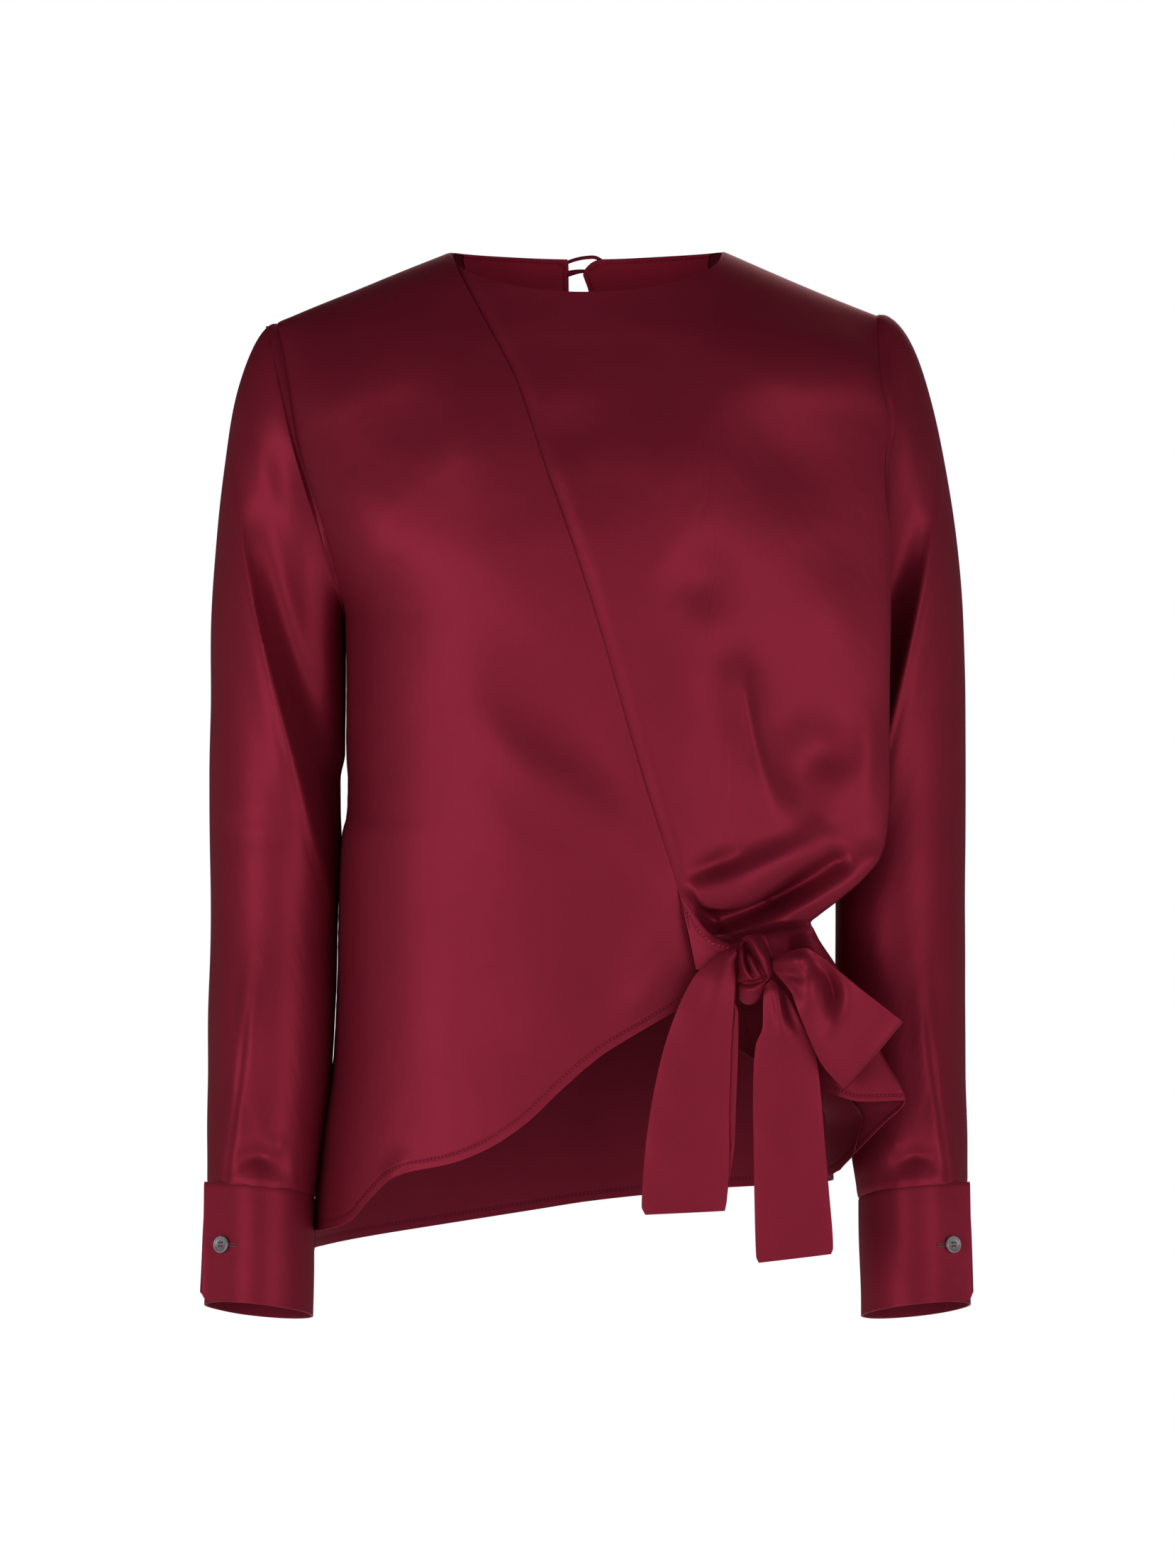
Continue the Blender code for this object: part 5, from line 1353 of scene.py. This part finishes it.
def make_buttonhole(word, points, normals, place, normal, side, thread):
    """Worked buttonhole: a narrow ring of thread that the button's rim hides in part."""
    turns, half_wide = full_turn(56), BUTTONHOLE_WIDE / 2
    straight = BUTTONHOLE / 2 - half_wide
    across = np.clip(np.cos(turns) * BUTTONHOLE / 2 * 1.25, -straight, straight)
    across = across + half_wide * np.cos(turns)
    height = half_wide * np.clip(np.sin(turns) * 3.0, -1, 1)
    inward = -side * BUTTONHOLE_SHIFT
    offsets = np.stack([across + inward, height, np.full(turns.shape, -CUFF_BUTTON_CLEAR)], axis=-1)
    route = set_on(offsets, place, normal)
    surface, outward = points.reshape(-1, 3), normals.reshape(-1, 3)
    for n in range(len(route)):
        nearest = int(np.argmin(np.linalg.norm(surface - route[n], axis=-1)))
        gap = np.dot(route[n] - surface[nearest], outward[nearest])
        route[n] = route[n] + outward[nearest] * (BUTTONHOLE_LIFT - gap)
    ring = np.concatenate([route, route[:2]])
    settle(swept(ring, BUTTONHOLE_CORD, 10, "thread_buttonhole_" + word, thread), "satin")


def make_neck_closure(satin, horn):
    """Button outside the back of the neck, and the cord loop that holds it."""
    height = np.array([NECK_BUTTON_Z])
    angle = np.array([back_angle(NECK_BUTTON_X, NECK_BUTTON_Z)])
    place, normal = back_form(angle, height)[0], form_normal(back_form, angle, height)[0]
    profile = [(radius * NECK_BUTTON / 2, rise) for radius, rise in NECK_BUTTON_PROFILE]
    button = turned_button("horn_neck_button", place + normal * NECK_BUTTON_CLEAR, normal,
                           profile, (), horn)
    settle(button, "horn", "neck_button")
    route = []
    for x, drop, out in LOOP_ROUTE:
        turn, height = np.array([back_angle(x, drop)]), np.array([drop])
        normal = form_normal(back_form, turn, height)[0]
        route.append(back_form(turn, height)[0] + normal * out)
    path = smooth_path(route, 120)
    along = np.linspace(0, 1, len(path))
    thick = CORD / 2 * (1.35 + 0.9 * smooth_step((along - 0.78) / 0.22))
    cord = swept(path, thick, 16, "satin_neck_loop", satin)
    settle(cord, "satin", "neck_loop")


class Expression:
    """A socket of a shader. Python arithmetic on it adds the Math nodes."""

    def __init__(self, finish, socket):
        self.finish, self.socket = finish, socket

    def math(self, operation, *others):
        inputs = dict(enumerate((self, *others)))
        return self.finish.node("Math", {"operation": operation}, inputs)

    def after(self, operation, other):
        """The same sum with the other value first."""
        return self.finish.node("Math", {"operation": operation}, {0: other, 1: self})

    def __neg__(self):
        return self.math("MULTIPLY", -1.0)

    def bell(self, width):
        """One at nought, falling to nothing past a width."""
        scaled = self / width
        return (-(scaled * scaled)).math("EXPONENT")

    def below(self, limit, soft):
        """One below a limit and nought above it, with a soft change."""
        return ((limit + soft - self) / (2 * soft)).math("MAXIMUM", 0.0).math("MINIMUM", 1.0)


def add_operator(word, operation):
    """Gives the class one of Python's signs, with the socket before or behind it."""
    setattr(Expression, "__" + word + "__", lambda self, other: self.math(operation, other))
    setattr(Expression, "__r" + word + "__", lambda self, other: self.after(operation, other))


for sign in (("add", "ADD"), ("sub", "SUBTRACT"), ("mul", "MULTIPLY"), ("truediv", "DIVIDE")):
    add_operator(*sign)


class Finish:
    """One material whose nodes are added by type."""

    def __init__(self, name):
        self.material = bpy.data.materials.new(name)
        self.material.use_nodes = True
        self.tree = self.material.node_tree
        self.shader = self.tree.nodes["Principled BSDF"]

    def put(self, socket, value):
        if isinstance(value, Expression):
            self.tree.links.new(value.socket, socket)
        elif hasattr(value, "__len__") and socket.type == "RGBA" and len(value) == 3:
            socket.default_value = (*value, 1.0)
        else:
            socket.default_value = value

    def node(self, kind, settings=None, inputs=None, output=0):
        node = self.tree.nodes.new("ShaderNode" + kind)
        for word, value in (settings or {}).items():
            setattr(node, word, value)
        for key, value in (inputs or {}).items():
            self.put(node.inputs[key], value)
        return Expression(self, node.outputs[output])

    def attribute(self, word, output="Fac"):
        return self.node("Attribute", {"attribute_name": word}, output=output)

    def noise(self, vector, scale, detail=2.0, roughness=0.5):
        return self.node("TexNoise", {}, {"Vector": vector, "Scale": scale, "Detail": detail,
                                          "Roughness": roughness})

    def stretched(self, vector, factors):
        return self.node("VectorMath", {"operation": "MULTIPLY"}, {0: vector, 1: factors}, "Vector")

    def mixed(self, factor, first, second):
        return self.node("Mix", {"data_type": "RGBA"}, {0: factor, 6: first, 7: second}, 2)

    def surface(self, **values):
        for word, value in values.items():
            self.put(self.shader.inputs[word.replace("_", " ")], value)

    def bump(self, height, distance, strength=1.0):
        normal = self.node("Bump", {}, {"Height": height, "Distance": distance,
                                        "Strength": strength})
        self.put(self.shader.inputs["Normal"], normal)


def shade(colour, factor):
    return tuple(min(1.0, channel * factor) for channel in colour[:3])


def satin_finish(name, colour, sizes, gloss):
    """Satin: fine warp floats, a soft sheen, and the stitched hems of the piece it is on."""
    finish = Finish(name)
    flat = finish.attribute("flat", "Vector")
    edge, along = finish.attribute("edge"), finish.attribute("along")
    stitch, wrong = finish.attribute("stitch"), finish.attribute("wrong")
    grain = finish.noise(finish.stretched(flat, (1.6, 0.22, 1.0)), 1.0, 2.0)
    twill = finish.noise(finish.stretched(flat, (3.2, 2.4, 1.0)), 1.0, 1.0)
    cloud = finish.noise(flat, 0.012, 2.0)
    crinkle = finish.noise(flat, 0.05, 2.0, 0.45)
    step = sizes.stitch_length / MM
    beat = (along / step).math("FRACT") - 0.5
    dash = beat.math("ABSOLUTE").below(0.29, 0.05)
    row = (edge - stitch).bell(0.45)
    # The groove beside the stitches is sunk in the bump and darkened in colour: painted shade in the
    # groove
    shaded_groove = (edge - stitch).bell(1.2)
    thread = row * dash
    inside = ((stitch - edge + 0.4) * 1.4).math("MAXIMUM", 0.0).math("MINIMUM", 1.0)
    # Colour a little lighter within about a millimetre of each finished edge
    lighter_edge = edge.bell(1.2)
    tone = 1.0 + (cloud - 0.5) * 0.22 + (grain - 0.5) * 0.16 + (twill - 0.5) * 0.10
    # The inner side, the satin's dull back, is also darkened in colour: painted shade inside the blouse
    tone = (tone - shaded_groove * 0.28 + thread * 0.70 + lighter_edge * 0.05) * (1.0 - wrong * 0.26)
    base = finish.mixed((tone - 0.45) / 1.1, shade(colour, 0.45), shade(colour, 1.55))
    height = (grain - 0.5) * 0.03 + (twill - 0.5) * 0.015 + (crinkle - 0.5) * 0.35
    height = height + inside * 0.20 - shaded_groove * 0.28 + thread * 0.24
    rough = 0.47 + (grain - 0.5) * 0.10 + (cloud - 0.5) * 0.06 + wrong * 0.15
    finish.surface(Base_Color=base, Metallic=gloss - wrong * gloss * 0.6, Roughness=rough,
                   Specular_IOR_Level=0.16, Specular_Tint=(0.55, 0.22, 0.27))
    finish.bump(height, 0.001)
    return finish.material


def horn_finish(name, colour):
    """Polished grey horn-like resin with darker and lighter streaks."""
    finish = Finish(name)
    place = finish.node("TexCoord", output="Object")
    streak = finish.noise(finish.stretched(place, (900.0, 900.0, 260.0)), 1.0, 4.0, 0.6)
    fleck = finish.noise(place, 1800.0, 2.0)
    base = finish.mixed(streak, shade(colour, 0.35), shade(colour, 2.4))
    finish.surface(Base_Color=base, Roughness=0.16 + fleck * 0.12, Specular_IOR_Level=0.6,
                   Coat_Weight=0.3, Coat_Roughness=0.08)
    finish.bump(fleck, 0.00002, 0.5)
    return finish.material


def thread_finish(name, colour):
    """Twisted sewing thread."""
    finish = Finish(name)
    place = finish.node("TexCoord", output="Object")
    ply = finish.noise(finish.stretched(place, (3000.0, 3000.0, 9000.0)), 1.0, 1.0)
    base = finish.mixed(ply, shade(colour, 0.5), shade(colour, 1.3))
    finish.surface(Base_Color=base, Roughness=0.55 + ply * 0.1, Sheen_Weight=0.3)
    finish.bump(ply, 0.0001, 0.6)
    return finish.material


def floor_finish(name, colour):
    """Pale matt studio floor that also glows faintly, a painted glow that lights the blouse from below.
    """
    finish = Finish(name)
    place = finish.node("TexCoord", output="Object")
    cloud = finish.noise(place, 1.2, 3.0)
    base = finish.mixed(cloud, shade(colour, 0.97), colour[:3])
    finish.surface(Base_Color=base, Roughness=0.75, Emission_Color=shade(colour, 1.0),
                   Emission_Strength=0.45)
    return finish.material


def material_named(name):
    """The finish of that name, made when it is first asked for."""
    ready = bpy.data.materials.get(name)
    if ready:
        return ready
    scene = bpy.context.scene
    sizes, colours = scene.blouse_sizes, scene.blouse_colours
    makers = {
        "burgundy_satin": lambda: satin_finish(name, colours.satin, sizes, 0.45),
        "facing_satin": lambda: satin_finish(name, colours.facing, sizes, 0.34),
        "grey_horn": lambda: horn_finish(name, colours.horn),
        "burgundy_thread": lambda: thread_finish(name, colours.thread),
        "studio_floor": lambda: floor_finish(name, colours.floor),
    }
    return makers[name]()


def length(name, description, default, low=0.0, high=1.0):
    return bpy.props.FloatProperty(name=name, description=description, default=default,
                                   min=low, max=high, precision=5, unit="LENGTH")


def colour(name, description, default):
    return bpy.props.FloatVectorProperty(name=name, description=description, default=default,
                                         size=3, min=0.0, max=1.0, subtype="COLOR")


def power_of(name, description, default):
    return bpy.props.FloatProperty(name=name, description=description, default=default, min=0.0,
                                   unit="POWER")


class BlouseSizes(bpy.types.PropertyGroup):
    cloth: length("Cloth", "Thickness of the satin", 0.0008)
    facing_cloth: length("Facing", "Thickness of the neck facing", 0.0006)
    cuff_cloth: length("Cuff", "Thickness of the stiffened cuffs", 0.0016)
    tie_cloth: length("Tie", "Thickness of the doubled tie", 0.0018)
    front_hem: length("Front hem", "Depth of the front's stitched hem", 0.0055)
    side_hem: length("Side hem", "Depth of the stitched hem below the tie", 0.0040)
    back_hem: length("Back hem", "Depth of the back's stitched hem", 0.0060)
    neck_stitch: length("Neck stitch", "Distance of the facing's stitches from its edge", 0.0024)
    stitch_length: length("Stitch", "Length of one stitch with its gap", 0.0027)
    ripple: length("Ripple", "Height of the low waves all over the cloth", 0.0007)
    pucker: length("Pucker", "Height of the puckers beside the seams", 0.00018)
    seam_dip: length("Seam dip", "Depth of the dip along each seam", 0.0003)


class BlouseColours(bpy.types.PropertyGroup):
    satin: colour("Satin", "Burgundy of the satin", (0.200, 0.0135, 0.030))
    # Brighter copy of the same satin's burgundy: painted light on the inside of the back neck
    facing: colour("Facing", "Burgundy inside the neck", (0.460, 0.024, 0.058))
    thread: colour("Thread", "Colour of the sewing thread", (0.110, 0.010, 0.022))
    horn: colour("Horn", "Grey of the buttons", (0.125, 0.110, 0.115))
    floor: colour("Floor", "Colour of the studio floor", (0.86, 0.86, 0.86))


class BlouseStudio(bpy.types.PropertyGroup):
    floor_drop: length("Floor", "How far the floor lies below the neck points", 1.42, 0.8, 3.0)
    camera_distance: length("Camera distance", "How far the camera stands off", 6.0, 1.0, 20.0)
    frame_height: length("Frame height", "Height of the view at the blouse", 1.03964, 0.2, 4.0)
    key_light: power_of("Key light", "Power of the large light", 40.0)
    fill_light: power_of("Fill light", "Power of the light opposite", 31.0)
    back_light: power_of("Back light", "Power of the light behind and above", 32.0)
    surround: bpy.props.FloatProperty(
        name="Surround", description="Brightness of the studio round the blouse", default=1.0,
        min=0.0, max=3.0)
    backdrop: bpy.props.FloatProperty(
        name="Backdrop", description="Brightness of the plain backdrop", default=1.0, min=0.0,
        max=3.0)


class BLOUSE_OT_fronts(bpy.types.Operator):
    """Build the two fronts: the lapped one and the draped one below it"""
    bl_idname = "blouse.fronts"
    bl_label = "Fronts"

    def execute(self, context):
        sizes = context.scene.blouse_sizes
        make_wrap_front(sizes, material_named("burgundy_satin"))
        make_drape_front(sizes, material_named("burgundy_satin"))
        return {"FINISHED"}


class BLOUSE_OT_back(bpy.types.Operator):
    """Build the back with its neck slit and its facings"""
    bl_idname = "blouse.back"
    bl_label = "Back and facings"

    def execute(self, context):
        make_back(context.scene.blouse_sizes, material_named("burgundy_satin"),
                  material_named("facing_satin"))
        return {"FINISHED"}


SIDES = (
    ("right", SLEEVE_RIGHT_ARM, armhole_right_arm, wrap_form, -1, SLEEVE_SEAM),
    ("left", SLEEVE_LEFT_ARM, armhole_left_arm, drape_form, 1, DRAPED_SLEEVE_SEAM),
)


class BLOUSE_OT_sleeves(bpy.types.Operator):
    """Build the two long sleeves"""
    bl_idname = "blouse.sleeves"
    bl_label = "Sleeves"

    def execute(self, context):
        for word, table, armhole, form, side, seam in SIDES:
            make_sleeve(context.scene.blouse_sizes, word, table, armhole, form, side, seam,
                        material_named("burgundy_satin"))
        return {"FINISHED"}


class BLOUSE_OT_cuffs(bpy.types.Operator):
    """Build the two cuffs with their lapped ends"""
    bl_idname = "blouse.cuffs"
    bl_label = "Cuffs"

    def execute(self, context):
        for word, table, _, _, side, _ in SIDES:
            make_cuff(context.scene.blouse_sizes, word, table, side,
                      material_named("burgundy_satin"))
        return {"FINISHED"}


class BLOUSE_OT_tie(bpy.types.Operator):
    """Build the side tie: strap, knot, loop and two ends"""
    bl_idname = "blouse.tie"
    bl_label = "Side tie"

    def execute(self, context):
        sizes, satin = context.scene.blouse_sizes, material_named("burgundy_satin")
        make_knot(satin)
        make_ribbon(sizes, "satin_tie_strap", "tie_strap", STRAP, 60, 30, 0.5, satin,
                    folds=STRAP_FOLDS, bands=(("left", 3.0),))
        make_ribbon(sizes, "satin_tie_end_right", "tie_end_right", TAIL_RIGHT, 150, 34, 1.5,
                    satin, folds=TAIL_FOLDS, lip=TAIL_LIP)
        make_ribbon(sizes, "satin_tie_end_left", "tie_end_left", TAIL_LEFT, 150, 34, 1.5,
                    satin, folds=TAIL_FOLDS)
        make_ribbon(sizes, "satin_tie_loop", "tie_loop", BOW_LOOP, 220, 44, 1.0, satin,
                    folds=LOOP_FOLDS)
        return {"FINISHED"}


class BLOUSE_OT_closures(bpy.types.Operator):
    """Build the cuff buttons, their buttonholes, and the button and loop of the neck"""
    bl_idname = "blouse.closures"
    bl_label = "Buttons and loop"

    def execute(self, context):
        horn = material_named("grey_horn")
        for word, table, _, _, side, _ in SIDES:
            make_cuff_button(word, table, side, horn, material_named("burgundy_thread"))
        make_neck_closure(material_named("burgundy_satin"), horn)
        return {"FINISHED"}


class BLOUSE_OT_stage(bpy.types.Operator):
    """Build the floor, the lights, the surround and the camera"""
    bl_idname = "blouse.stage"
    bl_label = "Stage"

    def execute(self, context):
        studio = context.scene.blouse_studio
        context.scene.view_settings.view_transform = "Standard"
        floor = mesh_piece("studio_floor", [(x * FLOOR_HALF, y * FLOOR_HALF, -studio.floor_drop / MM)
                                            for x, y in ((-1, -1), (1, -1), (1, 1), (-1, 1))],
                           [[0, 1, 2, 3]], material_named("studio_floor"))
        for name, place in (("key_light", (-2.4, -3.0, -0.45)), ("fill_light", (2.5, -2.9, -0.50)),
                            ("back_light", (0.5, 2.6, 1.50))):
            light = bpy.data.lights.new(name, "AREA")
            light.shape, light.energy = "RECTANGLE", getattr(studio, name)
            light.size, light.size_y = LIGHT_SIZE
            lamp = bpy.data.objects.new(name, light)
            lamp.location = place
            lamp.rotation_euler = (Vector(LIGHT_AIM) - lamp.location).to_track_quat("-Z", "Y").to_euler()
            context.scene.collection.objects.link(lamp)
        make_surround(context.scene, studio)
        camera_data = bpy.data.cameras.new("camera")
        camera_data.sensor_fit = "VERTICAL"
        camera_data.sensor_height = SENSOR
        camera_data.lens = SENSOR * studio.camera_distance / studio.frame_height
        camera_data.clip_end = 50.0
        camera = bpy.data.objects.new("camera", camera_data)
        camera.location = (0.000235, -studio.camera_distance, VIEW_HEIGHT * MM)
        camera.rotation_euler = (math.pi / 2, 0, 0)
        context.scene.collection.objects.link(camera)
        context.scene.camera = camera
        return {"FINISHED"}


def make_surround(scene, studio):
    """White to the camera; for the light on the satin a soft studio, darker overhead and
    behind the blouse."""
    world = bpy.data.worlds.new("surround")
    world.use_nodes = True
    tree = world.node_tree
    tree.nodes.clear()
    place, split, ramp, shift, depth, soft, plain, path, mix, out = (
        tree.nodes.new("ShaderNode" + kind) for kind in (
            "TexCoord", "SeparateXYZ", "ValToRGB", "MapRange", "MapRange", "Background",
            "Background", "LightPath", "MixShader", "OutputWorld"))
    shift.inputs["From Min"].default_value = depth.inputs["From Min"].default_value = -1.0
    depth.inputs["To Min"].default_value = SURROUND_FRONT * studio.surround
    depth.inputs["To Max"].default_value = SURROUND_BACK * studio.surround
    while len(ramp.color_ramp.elements) < len(SURROUND_STOPS):
        ramp.color_ramp.elements.new(0.5)
    for element, (position, value) in zip(ramp.color_ramp.elements, SURROUND_STOPS):
        element.position, element.color = position, (value, value, value, 1.0)
    plain.inputs["Color"].default_value = (1.0, 1.0, 1.0, 1.0)
    plain.inputs["Strength"].default_value = studio.backdrop
    for source, target in ((place.outputs["Generated"], split.inputs[0]),
                           (split.outputs["Z"], shift.inputs["Value"]),
                           (split.outputs["Y"], depth.inputs["Value"]),
                           (depth.outputs["Result"], soft.inputs["Strength"]),
                           (shift.outputs["Result"], ramp.inputs["Fac"]),
                           (ramp.outputs["Color"], soft.inputs["Color"]),
                           (path.outputs["Is Camera Ray"], mix.inputs[0]),
                           (soft.outputs[0], mix.inputs[1]), (plain.outputs[0], mix.inputs[2]),
                           (mix.outputs[0], out.inputs["Surface"])):
        tree.links.new(source, target)
    scene.world = world


OPERATORS = (BLOUSE_OT_stage, BLOUSE_OT_fronts, BLOUSE_OT_back, BLOUSE_OT_sleeves,
             BLOUSE_OT_cuffs, BLOUSE_OT_tie, BLOUSE_OT_closures)


class BLOUSE_PT_pieces(bpy.types.Panel):
    """Sizes, colours and the operators that build each group of pieces"""
    bl_idname = "BLOUSE_PT_pieces"
    bl_label = "Satin wrap blouse"
    bl_space_type = "VIEW_3D"
    bl_region_type = "UI"
    bl_category = "Blouse"

    def draw(self, context):
        scene = context.scene
        for group in (scene.blouse_sizes, scene.blouse_colours, scene.blouse_studio):
            box = self.layout.box()
            for word in group.__annotations__:
                box.prop(group, word)
        for operator in OPERATORS:
            self.layout.operator(operator.bl_idname)


GROUPS = (("blouse_sizes", BlouseSizes), ("blouse_colours", BlouseColours),
          ("blouse_studio", BlouseStudio))


def register():
    for word, group in GROUPS:
        bpy.utils.register_class(group)
        setattr(bpy.types.Scene, word, bpy.props.PointerProperty(type=group))
    for made in (*OPERATORS, BLOUSE_PT_pieces):
        bpy.utils.register_class(made)


def unregister():
    for made in reversed((*OPERATORS, BLOUSE_PT_pieces)):
        bpy.utils.unregister_class(made)
    for word, group in reversed(GROUPS):
        delattr(bpy.types.Scene, word)
        bpy.utils.unregister_class(group)


def main():
    register()
    bpy.ops.blouse.stage()
    bpy.ops.blouse.fronts()
    bpy.ops.blouse.back()
    bpy.ops.blouse.sleeves()
    bpy.ops.blouse.cuffs()
    bpy.ops.blouse.tie()
    bpy.ops.blouse.closures()


if __name__ == "__main__":
    main()
